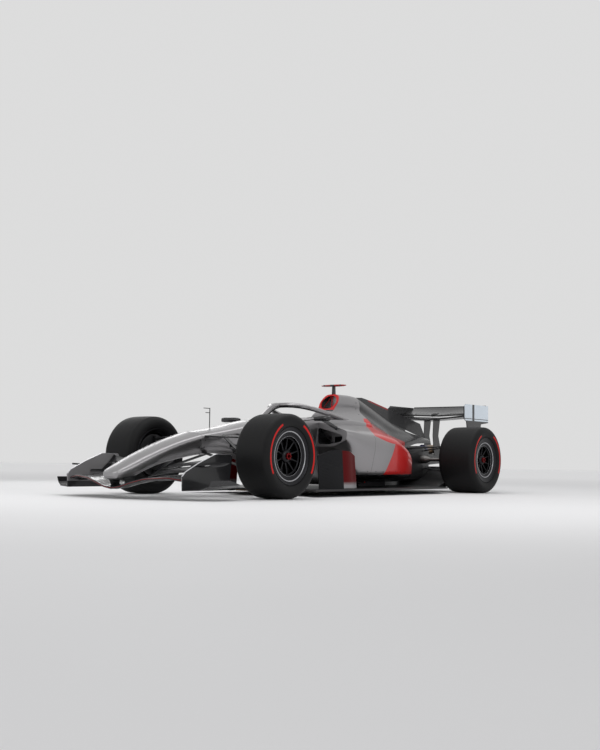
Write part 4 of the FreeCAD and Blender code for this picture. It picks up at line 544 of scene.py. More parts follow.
def moulded(name, colour, worn_colour, roughness, grain=500, depth=0.0002):
    """Moulded plastic or rubber: fine grain in the bump, slight wear in tone and gloss."""
    finish = Finish(name)
    fine = finish.noise(grain, 2.0)
    worn = finish.noise(25, 4.0, 0.6)
    finish.put("Base Color", finish.mix(worn, colour, worn_colour))
    finish.put("Roughness", roughness + worn * 0.12 + fine * 0.05)
    finish.bump(fine, depth)
    return finish.material


plank_wood = layered_plank("layered_plank")
black_plastic = moulded("black_plastic", (0.014, 0.014, 0.015), (0.028, 0.028, 0.029), 0.42)
grip_rubber = moulded("grip_rubber", (0.010, 0.010, 0.010), (0.022, 0.022, 0.022), 0.7, 260, 0.0006)
glass_black = moulded("glass_black", (0.006, 0.007, 0.009), (0.010, 0.011, 0.014), 0.06, 40, 0.00002)
print("wood and mouldings ready")

# %% [markdown]
# ## Finishes on the frame's own solids
# A solid whose shape is right is kept and gets a finish. Its mesh stays as it came, in loose
# triangles. Smooth shading could be written into the mesh, but that would change it, so a node
# group joins the triangles as they are shown and shades them smooth. Edges that turn by more than a
# set angle stay crisp.

# %% Smooth shading up to an angle
CRISP_ANGLE = math.radians(32)
JOIN_DISTANCE = 0.00002


def soft_shading(name, angle):
    """Geometry nodes in one chain: merge points that coincide, drop stored normals, shade every
    face smooth, then mark edges sharp where the faces on both sides turn by more than angle."""
    group = bpy.data.node_groups.new(name, "GeometryNodeTree")
    for way in ("INPUT", "OUTPUT"):
        group.interface.new_socket("Geometry", in_out=way, socket_type="NodeSocketGeometry")
    kinds = (
        "NodeGroupInput",
        "GeometryNodeMergeByDistance",
        "GeometryNodeRemoveAttribute",
        "GeometryNodeSetShadeSmooth",
        "GeometryNodeSetShadeSmooth",
        "NodeGroupOutput",
    )
    chain = [group.nodes.new(kind) for kind in kinds]
    for giver, taker in zip(chain, chain[1:]):
        group.links.new(giver.outputs[0], taker.inputs["Geometry"])
    _, merge, drop, faces, edges, _ = chain
    merge.inputs["Distance"].default_value = JOIN_DISTANCE
    drop.inputs["Name"].default_value = "custom_normal"
    faces.domain = "FACE"
    edges.domain = "EDGE"
    turn = group.nodes.new("GeometryNodeInputMeshEdgeAngle")
    small = group.nodes.new("FunctionNodeCompare")
    small.operation = "LESS_THAN"
    small.inputs[1].default_value = angle
    group.links.new(turn.outputs["Unsigned Angle"], small.inputs[0])
    group.links.new(small.outputs[0], edges.inputs["Shade Smooth"])
    return group


crisp_edges = soft_shading("crisp_edges", CRISP_ANGLE)
print("edges stay crisp from", round(math.degrees(CRISP_ANGLE)), "degrees")

# %% Every solid's finish
finishes = [
    (silver_nose, ["nose_cone"]),
    (silver_cell, ["survival_cell"]),
    (silver_halo, ["halo"]),
    (silver_hoop, ["roll_hoop"]),
    (silver_pods, ["sidepods"]),
    (silver_boards, ["floor_boards"]),
    (cover_carbon, ["engine_cover"]),
    (camera_carbon, ["camera_pod"]),
    (rear_plate_carbon, ["rear_wing_plates"]),
    (front_plate_finish, ["front_wing_plates"]),
    (dark_casting, ["engine_block"]),
    (pipe_steel, ["exhaust"]),
    (plank_wood, ["plank"]),
    (shaft_steel, [f"driveshaft_{side}" for side in SIDES]),
    (wheel_lacquer, [f"rim_{end}_{side}" for end, side in CORNERS]),
    (gloss_carbon, ["rear_crash_structure", "rear_wing_main", "rear_wing_flap", "rear_wing_pylons"]),
    (gloss_carbon, ["front_wing_main", "front_flaps", "mirrors"]),
    (satin_carbon, ["gearbox", "floor", "diffuser", "rear_uprights", "front_wishbones", "rear_wishbones"]),
    (satin_carbon, ["steering_wheel", "pitot_tube", "headrest", "seat"]),
    (satin_carbon, [f"front_upright_{side}" for side in SIDES]),
    (satin_carbon, [f"track_rod_{side}" for side in SIDES]),
    (satin_carbon, [f"tyre_{end}_{side}" for end, side in CORNERS]),
]


def dress(node, material):
    """Gives a solid of the frame its finish and its shading."""
    piece = nodes[node]
    piece.data.materials.clear()
    piece.data.materials.append(material)
    shade = piece.modifiers.new("crisp_edges", "NODES")
    shade.node_group = crisp_edges


for material, names in finishes:
    for name in names:
        dress(name, material)
print("solids with a finish:", sum(len(names) for _, names in finishes))

# %% [markdown]
# ## Surfaces from formulas
# New pieces are grids of points worked out with numpy: a profile turned about an axle, or a section
# carried along a path. They could be cut and joined from ready-made solids, but a grid gives each
# curve its own steps. One helper numbers the cells and closes the ends, another makes the mesh.

# %% Grids and meshes
WELD_DISTANCE = 0.00001


def sleeve(rows, columns, closed=False, ends=True):
    """Four corners of each cell of a grid whose points are numbered row by row and whose rows are
    rings. The last ring meets the first where closed is set. If not, one face covers each end."""
    row, column = np.meshgrid(np.arange(rows if closed else rows - 1), np.arange(columns), indexing="ij")
    below, beside = (row + 1) % rows * columns, (column + 1) % columns
    row = row * columns
    faces = np.stack([row + column, below + column, below + beside, row + beside], -1)
    faces = faces.reshape(-1, 4).tolist()
    if ends and not closed:
        faces += [list(range(columns)), list(range((rows - 1) * columns, rows * columns))]
    return faces


def make_piece(name, parts, material, body):
    """One mesh from several (points, faces), facing outwards, riding on a body."""
    mesh = bpy.data.meshes.new(name)
    points, faces, count = [], [], 0
    for part_points, part_faces in parts:
        points.append(np.asarray(part_points, float).reshape(-1, 3))
        faces += [[corner + count for corner in face] for face in part_faces]
        count += len(points[-1])
    mesh.from_pydata(np.concatenate(points).tolist(), [], faces)
    mesh.validate()
    work = bmesh.new()
    work.from_mesh(mesh)
    bmesh.ops.remove_doubles(work, verts=work.verts, dist=WELD_DISTANCE)
    bmesh.ops.recalc_face_normals(work, faces=work.faces)
    work.to_mesh(mesh)
    work.free()
    mesh.shade_smooth()
    mesh.set_sharp_from_angle(angle=CRISP_ANGLE)
    mesh.materials.append(material)
    piece = bpy.data.objects.new(name, mesh)
    bpy.context.scene.collection.objects.link(piece)
    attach(piece, body)
    return piece


print("grids weld points nearer than", WELD_DISTANCE * 1000, "mm")

# %% Lines, turned shapes and tubes
def full_turn(steps):
    """Angles once round, in equal steps."""
    return np.linspace(0, 2 * math.pi, steps, endpoint=False)


def signed_power(value, power):
    """The value's size raised to a power, with its sign kept: small powers square a circle up."""
    return np.sign(value) * np.abs(value) ** power


def smooth_line(corners, steps):
    """A curve through the corners: on each span the cubic whose slope at a corner is half the step
    from the corner before to the one after."""
    points = np.asarray(corners, float)
    padded = np.vstack([2 * points[0] - points[1], points, 2 * points[-1] - points[-2]])
    t = np.linspace(0, 1, steps, endpoint=False)[:, None]
    spans = []
    for a, b, c, d in zip(padded, padded[1:], padded[2:], padded[3:]):
        square = 2 * a - 5 * b + 4 * c - d
        cube = 3 * b - a - 3 * c + d
        spans.append(0.5 * (2 * b + (c - a) * t + square * t**2 + cube * t**3))
    return np.vstack(spans + [points[-1:]])


def turned(profile, centre, steps=128, closed=True, axle=1):
    """A profile of (along, radius) turned about a line through centre, along axis number axle. On
    the other two axes a point is the radius times the cosine and the sine of the angle."""
    along, radius = np.asarray(profile, float).T[:, :, None]
    angle = full_turn(steps)
    axes = [radius * np.cos(angle), radius * np.sin(angle)]
    axes.insert(axle, np.repeat(along, steps, 1))
    points = np.stack(axes, -1) + np.array(centre)
    return points.reshape(-1, 3), sleeve(len(profile), steps, closed)


def tube(path, radius, sides=12, flat=1.0, closed=False):
    """A round section carried along a path. Each ring stands square to the path's direction, and
    flat squeezes it along the ring's second axis."""
    path = np.asarray(path, float)
    ahead = np.roll(path, -1, 0) if closed else np.vstack([path[1:], path[-1:]])
    behind = np.roll(path, 1, 0) if closed else np.vstack([path[:1], path[:-1]])
    run = ahead - behind
    run /= np.linalg.norm(run, axis=1)[:, None]
    guide = np.where(np.abs(run[:, 2:]) > 0.9, [[1.0, 0, 0]], [[0, 0, 1.0]])
    first = np.cross(guide, run)
    first /= np.linalg.norm(first, axis=1)[:, None]
    second = np.cross(run, first)
    angle = full_turn(sides)[None, :, None]
    ring = np.cos(angle) * first[:, None] + flat * np.sin(angle) * second[:, None]
    points = path[:, None] + np.asarray(radius, float).reshape(-1, 1, 1) * ring
    return points.reshape(-1, 3), sleeve(len(path), sides, closed)


print("surface helpers ready")

# %% Boxes, bolts and straps
BOLT_RINGS = [(-0.3, 1.0), (0.75, 1.0), (1.0, 0.78)]
STRAP_CORNERS = [(-1, -1), (-0.96, 1), (0.96, 1), (1, -1)]


def soft_box(centre, axes, half_sizes, corner=0.15, steps=9):
    """A box with rounded edges: a superellipsoid whose sections are nearly square. Each point is
    the sign and a small power of a cosine or sine on three axes."""
    u = np.linspace(-math.pi / 2, math.pi / 2, steps)[:, None]
    v = (full_turn(4 * steps) - math.pi)[None]
    round_u = signed_power(np.cos(u), corner)
    shares = [
        round_u * signed_power(np.cos(v), corner),
        round_u * signed_power(np.sin(v), corner),
        signed_power(np.sin(u), corner) * np.ones_like(v),
    ]
    points = np.array(centre) + sum(
        (share * half)[..., None] * np.array(axis, float)
        for share, half, axis in zip(shares, half_sizes, axes)
    )
    return points.reshape(-1, 3), sleeve(steps, 4 * steps)


def bolt_head(place, axis, radius, height, sides=6):
    """A prism with a chamfered head that stands on place along axis. Each ring is a share of the
    height and a share of the radius."""
    axis = np.array(axis, float) / np.linalg.norm(axis)
    guide = [0, 0, 1] if abs(axis[2]) < 0.9 else [1, 0, 0]
    first = np.cross(guide, axis)
    first /= np.linalg.norm(first)
    second = np.cross(axis, first)
    angle = full_turn(sides)[:, None]
    circle = (np.cos(angle) * first + np.sin(angle) * second) * radius
    rings = [np.array(place, float) + axis * height * up + circle * wide for up, wide in BOLT_RINGS]
    return np.vstack(rings), sleeve(len(rings), sides)


def ribbon(path, width, thickness, facing):
    """A flat strap: its width lies square to the path and to the direction that it faces."""
    path = np.asarray(path, float)
    run = np.gradient(path, axis=0)
    run /= np.linalg.norm(run, axis=1)[:, None]
    across = np.cross(run, facing)
    across /= np.linalg.norm(across, axis=1)[:, None]
    out = np.cross(across, run)
    rings = [path + across * (width / 2 * a) + out * (thickness / 2 * b) for a, b in STRAP_CORNERS]
    return np.stack(rings, 1).reshape(-1, 3), sleeve(len(path), len(STRAP_CORNERS))


print("boxes, bolts and straps ready")

# %% [markdown]
# ## Tyres
# A slick has no pattern, so its shape has to carry it: beads behind the rim's flange, a full side
# wall, a round shoulder and an almost flat tread. A torus would be too round, so the profile is one
# smooth line through a few places that come from the solid's box, turned about the axle. Red arcs
# mark the outer wall.

# %% Rubber
ARC_RADIUS, ARC_HALF_WIDTH = 0.288, 0.009
ARC_LOW, ARC_HIGH = -0.49, 0.88
WALL_START_Y = 0.10
MOULD_RING = 0.006


def slick_rubber(name, centre, outwards):
    """Black rubber with a faint wear haze, fine mould rings inside the arcs, and two red arcs on
    the outer wall. The arcs are where the radius lies in a thin band and the height over the
    hub, as a share of the radius, lies between two values."""
    finish = Finish(name, specular_ior_level=0.16)
    x, y, z = finish.place()
    along, rise = x - centre.x, z - centre.z
    radius = (along * along + rise * rise).root()
    outer = ((y - centre.y) * outwards).above(WALL_START_Y, 0.01)
    band = radius.between(ARC_RADIUS - ARC_HALF_WIDTH, ARC_RADIUS + ARC_HALF_WIDTH, 0.0015)
    arcs = band * outer * (rise / radius).between(ARC_LOW, ARC_HIGH, 0.01)
    haze = finish.noise(40, 4.0, 0.6)
    pitted = finish.noise(900, 1.0)
    rubber = finish.mix(haze, RUBBER, RUBBER_GREY)
    finish.put("Base Color", finish.mix(arcs, rubber, ARC_RED))
    finish.put("Roughness", 0.44 + haze * 0.22 - arcs * 0.1)
    rings = (radius / MOULD_RING).fraction().below(0.12, 0.1) * radius.below(ARC_RADIUS - 0.02)
    finish.bump(pitted * 0.25 + rings * 0.3 + haze * 0.4, 0.0005)
    return finish.material


print("the arcs' radius:", ARC_RADIUS, "m")

# %% Slick tyres
RIM_FLANGE_RADIUS, BEAD_SEAT_RADIUS = 0.240, 0.2285
RIM_HALF = {"front": 0.155, "rear": 0.190}
BEAD_INSET = 0.0083
TREAD_SHARE = {"front": 0.77, "rear": 0.81}
TYRE_STEPS = 160


def tyre_profile(half, tread_half, bead_half, outer):
    """(across, radius) from the outer bead over the tread to the inner one. One half is a smooth
    line through the bead's heel, the wall's fullest place, the shoulder and the tread's edge. The
    other half is the same line with its sign changed."""
    wall = outer - RIM_FLANGE_RADIUS
    half_line = [
        (bead_half - 0.010, BEAD_SEAT_RADIUS),
        (bead_half, BEAD_SEAT_RADIUS),
        (bead_half, RIM_FLANGE_RADIUS + 0.001),
        (bead_half + 0.010, RIM_FLANGE_RADIUS + 0.004),
        (half - 0.006, RIM_FLANGE_RADIUS + wall * 0.20),
        (half, RIM_FLANGE_RADIUS + wall * 0.46),
        (half - 0.004, RIM_FLANGE_RADIUS + wall * 0.68),
        (half - 0.018, RIM_FLANGE_RADIUS + wall * 0.85),
        (tread_half + 0.002, RIM_FLANGE_RADIUS + wall * 0.955),
        (tread_half - 0.030, outer - 0.0022),
        (tread_half * 0.5, outer - 0.0005),
        (0, outer),
    ]
    line = smooth_line(half_line, 5)
    return np.vstack([line, line[-2::-1] * [-1, 1]])


for end, side in CORNERS:
    low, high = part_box(f"tyre_{end}_{side}")
    centre = hub[end, side]
    half, outer = (high.y - low.y) / 2, (high.z - low.z) / 2
    profile = tyre_profile(half, half * TREAD_SHARE[end], RIM_HALF[end] - BEAD_INSET, outer)
    rubber = slick_rubber(f"rubber_{end}_{side}", centre, SIDES[side])
    shape = [turned(profile, centre, TYRE_STEPS)]
    piece = make_piece(f"slick_{end}_{side}", shape, rubber, f"{end}_wheel_{side}")
    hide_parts(f"tyre_{end}_{side}")
    print("slick", end, side, "is", round(2 * half, 3), "m wide and", round(2 * outer, 3), "m high")

# %% [markdown]
# ## Wheels
# The rims are deep, black and almost in shadow, and what tells their shape is a bright line round
# the dish, a ring of bolts on the spokes and the hub's red nut. The spokes could be cut out of a
# disc. Each is a flattened tube instead, which grows wider where it meets the hub and the barrel,
# as a forged spoke does. Barrel, dish, hub and rings are profiles turned about the axle.

# %% Profiles of the rim
HUB_RADIUS, NUT_RADIUS, HUB_BORE = 0.058, 0.034, 0.0352
BOLT_CIRCLE = 0.153
BARREL_RADIUS = 0.208
FACE_SETBACK = 0.048
DISH_RING = {"front": 0.200, "rear": 0.181}
DISH_EDGE = {"front": 0.163, "rear": 0.152}
FLANGE_ROWS = [
    (0.0020, 0.2315),
    (0.0000, 0.2360),
    (0.0015, 0.2392),
    (0.0040, 0.2400),
    (0.0080, 0.2390),
    (0.0080, 0.2283),
    (0.0360, 0.2135),
]
BARREL_TOP = (0.03, 0.2118)
INNER_BACK_ROWS = [(0.012, 0.2255), (0.034, 0.2065)]
INNER_MIDDLE = (0.0, 0.2045)
INNER_FRONT_ROWS = [(0.040, 0.2050), (0.020, 0.2140), (0.010, 0.2245)]


def inset(edge, rows):
    """(across, radius) of rows that give how far a point lies in from an edge, and its radius."""
    return [(edge - inwards, radius) for inwards, radius in rows]


def mirrored(rows):
    """The same (across, radius) on the other side of the wheel's middle."""
    return [(-across, radius) for across, radius in rows]


def barrel_profile(half):
    """The barrel's outer skin from flange to flange, and back along its inner skin."""
    lip = inset(half, FLANGE_ROWS)
    back = mirrored(lip[::-1]) + mirrored(inset(half, INNER_BACK_ROWS))
    return lip + [BARREL_TOP] + back + [INNER_MIDDLE] + inset(half, INNER_FRONT_ROWS)


def dish_profile(half, ring, edge):
    """The thin black dish that covers the rim from the lip inwards, with a step at the ring."""
    rows = [
        (0.0050, 0.2300),
        (0.0100, 0.2150),
        (0.0130, ring + 0.008),
        (0.0130, ring),
        (0.0160, ring - 0.002),
        (0.0185, ring - 0.015),
        (0.0215, ring - 0.017),
        (0.0235, edge),
        (0.0260, edge),
        (0.0245, ring - 0.017),
        (0.0215, ring - 0.013),
        (0.0190, ring),
        (0.0160, ring + 0.008),
        (0.0135, 0.2150),
        (0.0085, 0.2280),
    ]
    return inset(half, rows)


HUB_ROWS = [
    (0.080, HUB_BORE),
    (0.080, HUB_RADIUS - 0.004),
    (0.074, HUB_RADIUS),
    (0.012, HUB_RADIUS),
    (-0.002, HUB_RADIUS - 0.006),
    (-0.010, HUB_RADIUS - 0.016),
    (-0.012, NUT_RADIUS - 0.004),
    (0.013, NUT_RADIUS - 0.006),
    (0.015, HUB_BORE - 0.004),
    (0.018, HUB_BORE),
]
BOLT_RING_ROWS = [
    (0.008, BOLT_CIRCLE - 0.006),
    (-0.004, BOLT_CIRCLE - 0.008),
    (-0.009, BOLT_CIRCLE - 0.003),
    (-0.009, BOLT_CIRCLE + 0.003),
    (-0.004, BOLT_CIRCLE + 0.008),
    (0.008, BOLT_CIRCLE + 0.006),
]
NUT_ROWS = [
    (0.012, 0.012),
    (0.012, 0.0295),
    (-0.018, 0.0295),
    (-0.024, 0.026),
    (-0.024, 0.017),
    (-0.010, 0.015),
    (-0.010, 0.012),
]
print("rim profiles:", len(FLANGE_ROWS), "points on a flange,", len(HUB_ROWS), "on the hub")

# %% Rims with their spokes and bolts
SPOKES = 10
SPOKE_FOOT, SPOKE_TIP = HUB_RADIUS - 0.010, BARREL_RADIUS + 0.001
SPOKE_STEPS, SPOKE_SIDES = 15, 14
RIM_BOLT_RADIUS, RIM_BOLT_HEIGHT = 0.0032, 0.0028
SPOKE_SQUARENESS = 0.6


def about_axle(profile, centre, outwards, steps=128):
    """A closed profile whose across grows towards the wheel's outer side, turned about its axle."""
    return turned(np.array(profile) * [outwards, 1], centre, steps)


def ring_of(part, centre, count, start=0.0):
    """A part repeated count times round the axle through centre. At each angle X becomes X times
    the cosine less Z times the sine, and Z becomes X times the sine plus Z times the cosine."""
    points, faces = part
    x, y, z = (np.asarray(points, float) - np.array(centre)).T
    angle = start + full_turn(count)[:, None]
    turned_x = x * np.cos(angle) - z * np.sin(angle)
    turned_z = x * np.sin(angle) + z * np.cos(angle)
    copies = np.stack([turned_x, np.broadcast_to(y, turned_x.shape), turned_z], -1)
    return [(copy, faces) for copy in copies + np.array(centre)]


def spoke(centre, outwards, face):
    """One spoke along X. Its sections are superellipses with their width along Z and their depth
    along Y. The width grows with the fourth power of the distance from the spoke's middle, and the
    depth's middle follows a part of a sine wave."""
    share = np.linspace(0, 1, SPOKE_STEPS)[:, None]
    angle = full_turn(SPOKE_SIDES)
    reach = SPOKE_FOOT + (SPOKE_TIP - SPOKE_FOOT) * share
    depth = face - 0.030 + 0.022 * np.sin(share * math.pi * 0.62)
    half_width = 0.0055 + 0.010 * np.abs(2 * share - 1) ** 4 + 0.002 * (1 - share)
    half_depth = 0.020 - 0.006 * share
    axes = [
        reach + 0 * angle,
        outwards * depth + half_depth * signed_power(np.sin(angle), SPOKE_SQUARENESS),
        half_width * signed_power(np.cos(angle), SPOKE_SQUARENESS),
    ]
    points = np.stack(axes, -1) + np.array(centre)
    return points.reshape(-1, 3), sleeve(SPOKE_STEPS, SPOKE_SIDES)


def rim_parts(end, centre, outwards):
    """Barrel, dish, hub, bolt ring, spokes and bolts of one rim."""
    half = RIM_HALF[end]
    face = half - FACE_SETBACK
    bolt_place = np.array(centre) + [BOLT_CIRCLE, outwards * (face + 0.009), 0]
    bolt = bolt_head(bolt_place, (0, outwards, 0), RIM_BOLT_RADIUS, RIM_BOLT_HEIGHT)
    return [
        about_axle(barrel_profile(half), centre, outwards),
        about_axle(dish_profile(half, DISH_RING[end], DISH_EDGE[end]), centre, outwards),
        about_axle(inset(face, HUB_ROWS), centre, outwards, 64),
        about_axle(inset(face, BOLT_RING_ROWS), centre, outwards, 96),
        *ring_of(spoke(centre, outwards, face), centre, SPOKES, math.pi / SPOKES),
        *ring_of(bolt, centre, 2 * SPOKES),
    ]


print("a rim has", SPOKES, "spokes and", 2 * SPOKES, "bolts")

# %% Nuts, bright rings and all four wheels
LUGS = 6
LUG_CIRCLE, LUG_RADIUS, LUG_HEIGHT = 0.026, 0.0065, 0.020


def nut_parts(end, centre, outwards):
    """The hub's nut, turned from its profile, with its lugs round it."""
    face = RIM_HALF[end] - FACE_SETBACK
    place = np.array(centre) + [LUG_CIRCLE, outwards * (face + 0.008), 0]
    lug = bolt_head(place, (0, outwards, 0), LUG_RADIUS, LUG_HEIGHT)
    return [about_axle(inset(face, NUT_ROWS), centre, outwards, 48), *ring_of(lug, centre, LUGS)]


def bright_parts(end, centre, outwards):
    """The dish's bright ring, and the line round its inner edge."""
    ring, edge = DISH_RING[end], DISH_EDGE[end]
    dish_ring = [
        (0.0135, ring + 0.0075),
        (0.0105, ring + 0.0065),
        (0.0105, ring + 0.0010),
        (0.0125, ring - 0.0012),
        (0.0155, ring - 0.0012),
    ]
    edge_line = [
        (0.0236, edge + 0.0018),
        (0.0228, edge + 0.0010),
        (0.0230, edge - 0.0004),
        (0.0252, edge - 0.0006),
    ]
    both = [inset(RIM_HALF[end], rows) for rows in (dish_ring, edge_line)]
    return [about_axle(profile, centre, outwards) for profile in both]


for end, side in CORNERS:
    wheel, body = (end, hub[end, side], SIDES[side]), f"{end}_wheel_{side}"
    rim_name = f"spoked_rim_{end}_{side}"
    rim = make_piece(rim_name, rim_parts(*wheel), wheel_lacquer, body)
    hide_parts(f"rim_{end}_{side}")
    make_piece(f"wheel_nut_{end}_{side}", nut_parts(*wheel), red_anodised, body)
    bright_name = f"rim_brightwork_{end}_{side}"
    make_piece(bright_name, bright_parts(*wheel), ring_metal, body)
print("rims, nuts and bright rings made:", 3 * len(CORNERS), "pieces")

# %% [markdown]
# ## Cockpit padding
# The driver's headrest and seat are soft. A bevelled block would look hard, so each pad starts as a
# copy of its solid, is rebuilt in even cells and drawn in a little, and is then blown up by a short
# cloth simulation, capped so that it stays in its place. Sewn channels are pressed in afterwards.

# %% Cloth with stitches
STITCH_STEP, STITCH_HALF_WIDTH = 0.006, 0.0009
THREAD_GREY = (0.30, 0.30, 0.31)


def stitched_cloth(name, first, second, weave, sheen=0.0, seams=()):
    """Woven or grained covering with stitch lines. A stitch is where the distance to a seam plane
    is small, broken up along X and Z."""
    finish = Finish(name, sheen_weight=sheen)
    x, y, z = finish.place()
    cell = 1 / weave
    warp = ((x + z) / cell).fraction().between(0.15, 0.85, 0.2)
    weft = (y / cell).fraction().between(0.15, 0.85, 0.2)
    worn = finish.noise(18, 4.0, 0.6)
    tone = finish.mix(warp * weft * 0.6 + worn * 0.4, first, second)
    stitch = x * 0
    for seam in seams:
        dash = ((x + z) / STITCH_STEP).fraction().below(0.62, 0.1)
        stitch = stitch | abs(abs(y) - seam).below(STITCH_HALF_WIDTH, 0.0005) * dash
    finish.put("Base Color", finish.mix(stitch, tone, THREAD_GREY))
    finish.put("Roughness", 0.72 + worn * 0.14)
    finish.bump(warp * weft + finish.noise(240, 3.0) * 0.6 + stitch, 0.0004)
    return finish.material


pad_leather = stitched_cloth(
    "pad_leather", (0.016, 0.016, 0.017), (0.030, 0.030, 0.031), 420, seams=(0.125, 0.175)
)
seat_fabric = stitched_cloth(
    "seat_fabric", (0.014, 0.014, 0.015), (0.034, 0.034, 0.036), 300, 0.15, seams=(0.05, 0.14)
)
print("leather and fabric ready")

# %% Copying and reading meshes
TRIANGLE_WELD = 0.00005


def mesh_array(mesh, field="co"):
    """Three numbers for each point of a mesh: co is its place and normal its direction."""
    flat = np.zeros(len(mesh.vertices) * 3)
    mesh.vertices.foreach_get(field, flat)
    return flat.reshape(-1, 3)


def set_points(mesh, points):
    mesh.vertices.foreach_set("co", points.ravel())
    mesh.update()


def merged_copy(node, name, shrink):
    """A copy of a solid's mesh with its points joined and drawn in along the normals."""
    mesh = nodes[node].data.copy()
    mesh.name = name
    work = bmesh.new()
    work.from_mesh(mesh)
    bmesh.ops.remove_doubles(work, verts=work.verts, dist=TRIANGLE_WELD)
    bmesh.ops.recalc_face_normals(work, faces=work.faces)
    work.to_mesh(mesh)
    work.free()
    if "custom_normal" in mesh.attributes:
        mesh.attributes.remove(mesh.attributes["custom_normal"])
    piece = bpy.data.objects.new(name, mesh)
    bpy.context.scene.collection.objects.link(piece)
    set_points(mesh, mesh_array(mesh) - mesh_array(mesh, "normal") * shrink)
    return piece


def applied(piece):
    """Replaces a piece's mesh by what its modifiers make of it."""
    graph = bpy.context.evaluated_depsgraph_get()
    mesh = bpy.data.meshes.new_from_object(piece.evaluated_get(graph))
    piece.modifiers.clear()
    piece.data = mesh
    return piece


print("mesh helpers ready")

# %% Soft pads
PAD_PRESSURE = 4.0
CLOTH_FRAMES = 20
CLOTH_QUALITY = 4
SMOOTH_SHARE, SMOOTH_ROUNDS = 0.5, 6
TINY = 1e-9


def swell(piece):
    """Blows a closed piece up by cloth under pressure, without gravity."""
    cloth = piece.modifiers.new("swell", "CLOTH")
    cloth.settings.use_pressure = True
    cloth.settings.uniform_pressure_force = PAD_PRESSURE
    cloth.settings.effector_weights.gravity = 0
    cloth.settings.quality = CLOTH_QUALITY
    cloth.point_cache.frame_start, cloth.point_cache.frame_end = 1, CLOTH_FRAMES
    for step in range(1, CLOTH_FRAMES + 1):
        bpy.context.scene.frame_set(step)
    applied(piece)
    bpy.context.scene.frame_set(1)


def soft_pad(node, name, voxel, shrink, cap, grooves, material):
    """The padded stand-in of a soft solid. A point moves by the swelling, but by no more than cap.
    grooves are (Y of a sewn channel, half width, depth): each presses in by its depth times the
    bell curve of the distance from it."""
    piece = merged_copy(node, name, shrink)
    remesh = piece.modifiers.new("even_cells", "REMESH")
    remesh.mode = "VOXEL"
    remesh.voxel_size = voxel
    even = piece.modifiers.new("even_edges", "SMOOTH")
    even.factor, even.iterations = SMOOTH_SHARE, SMOOTH_ROUNDS
    applied(piece)
    rest = mesh_array(piece.data)
    swell(piece)
    move = mesh_array(piece.data) - rest
    length = np.linalg.norm(move, axis=1)[:, None]
    points = rest + move * np.minimum(1, cap / np.maximum(length, TINY))
    set_points(piece.data, points)
    press = np.zeros(len(points))
    for place, half_width, depth in grooves:
        off = (np.abs(points[:, 1]) - place) / half_width
        press = np.maximum(press, depth * np.exp(-(off**2)))
    set_points(piece.data, points - mesh_array(piece.data, "normal") * press[:, None])
    piece.data.materials.clear()
    piece.data.materials.append(material)
    piece.data.shade_smooth()
    finer = piece.modifiers.new("finer", "SUBSURF")
    finer.levels = finer.render_levels = 1
    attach(piece, "chassis")
    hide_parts(node)
    return piece


soft_pad(
    "headrest",
    "headrest_pad",
    voxel=0.006,
    shrink=0.003,
    cap=0.005,
    grooves=[(0.150, 0.004, 0.004)],
    material=pad_leather,
)
seat_pad = soft_pad(
    "seat",
    "seat_pad",
    voxel=0.0075,
    shrink=0.001,
    cap=0.005,
    grooves=[(0.055, 0.004, 0.003), (0.145, 0.004, 0.003)],
    material=seat_fabric,
)
print("pads made, with cloth simulation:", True)

# %% [markdown]
# ## Harness
# Six flat straps hold a driver: two over the shoulders, two across the lap and two between the
# legs, all into one round buckle. Rebuilding them in cells, as the pads are, would erase such thin
# bands. A strap is a ribbon instead, along a path that is dropped onto the seat and eased.

# %% Straps
ABOVE_ALL_Z = 2.0
STRAP_STEPS, STRAP_THICKNESS, STRAP_LIFT = 24, 0.0022, 0.007
STRAP_START_Z = 0.30
RIB_STEP = 0.0016
BUCKLE_X = 0.300
STRAP_RUNS = [
    ((-0.035, 0.085), (BUCKLE_X - 0.020, 0.022), 0.050),
    ((BUCKLE_X - 0.030, 0.165), (BUCKLE_X, 0.030), 0.044),
    ((BUCKLE_X + 0.130, 0.050), (BUCKLE_X + 0.015, 0.015), 0.040),
]


def surface_of(piece):
    """A search tree of a piece's shown surface, for dropping points onto it."""
    return BVHTree.FromObject(piece, bpy.context.evaluated_depsgraph_get())


def landed(surface, start, direction):
    """Where a ray from start meets the surface, and the surface's direction there."""
    place, normal, _, _ = surface.ray_cast(Vector(start), Vector(direction).normalized())
    return place, normal


def dropped(points, surface, lift):
    """Each point moved straight down until it lies lift above the surface."""
    hits = [landed(surface, (x, y, ABOVE_ALL_Z), (0, 0, -1))[0] for x, y, _ in points]
    return np.array([(x, y, (hit.z if hit else z) + lift) for (x, y, z), hit in zip(points, hits)])


def eased(path, rounds=6):
    """The path with each inner point pulled to the mean of its neighbours a few times."""
    path = path.copy()
    for _ in range(rounds):
        path[1:-1] = (path[:-2] + 2 * path[1:-1] + path[2:]) / 4
    return path


def webbing(name, colour, darker):
    """Seat belt cloth: ribs across the strap and faint grime."""
    finish = Finish(name, sheen_weight=0.2)
    x, y, z = finish.place()
    ribs = ((x + z * 0.7) / RIB_STEP).fraction().between(0.2, 0.8, 0.3)
    grime = finish.noise(35, 4.0, 0.6)
    finish.put("Base Color", finish.mix(ribs * 0.5 + grime * 0.5, colour, darker))
    finish.put("Roughness", 0.62 + grime * 0.15)
    finish.bump(ribs, 0.0004)
    return finish.material


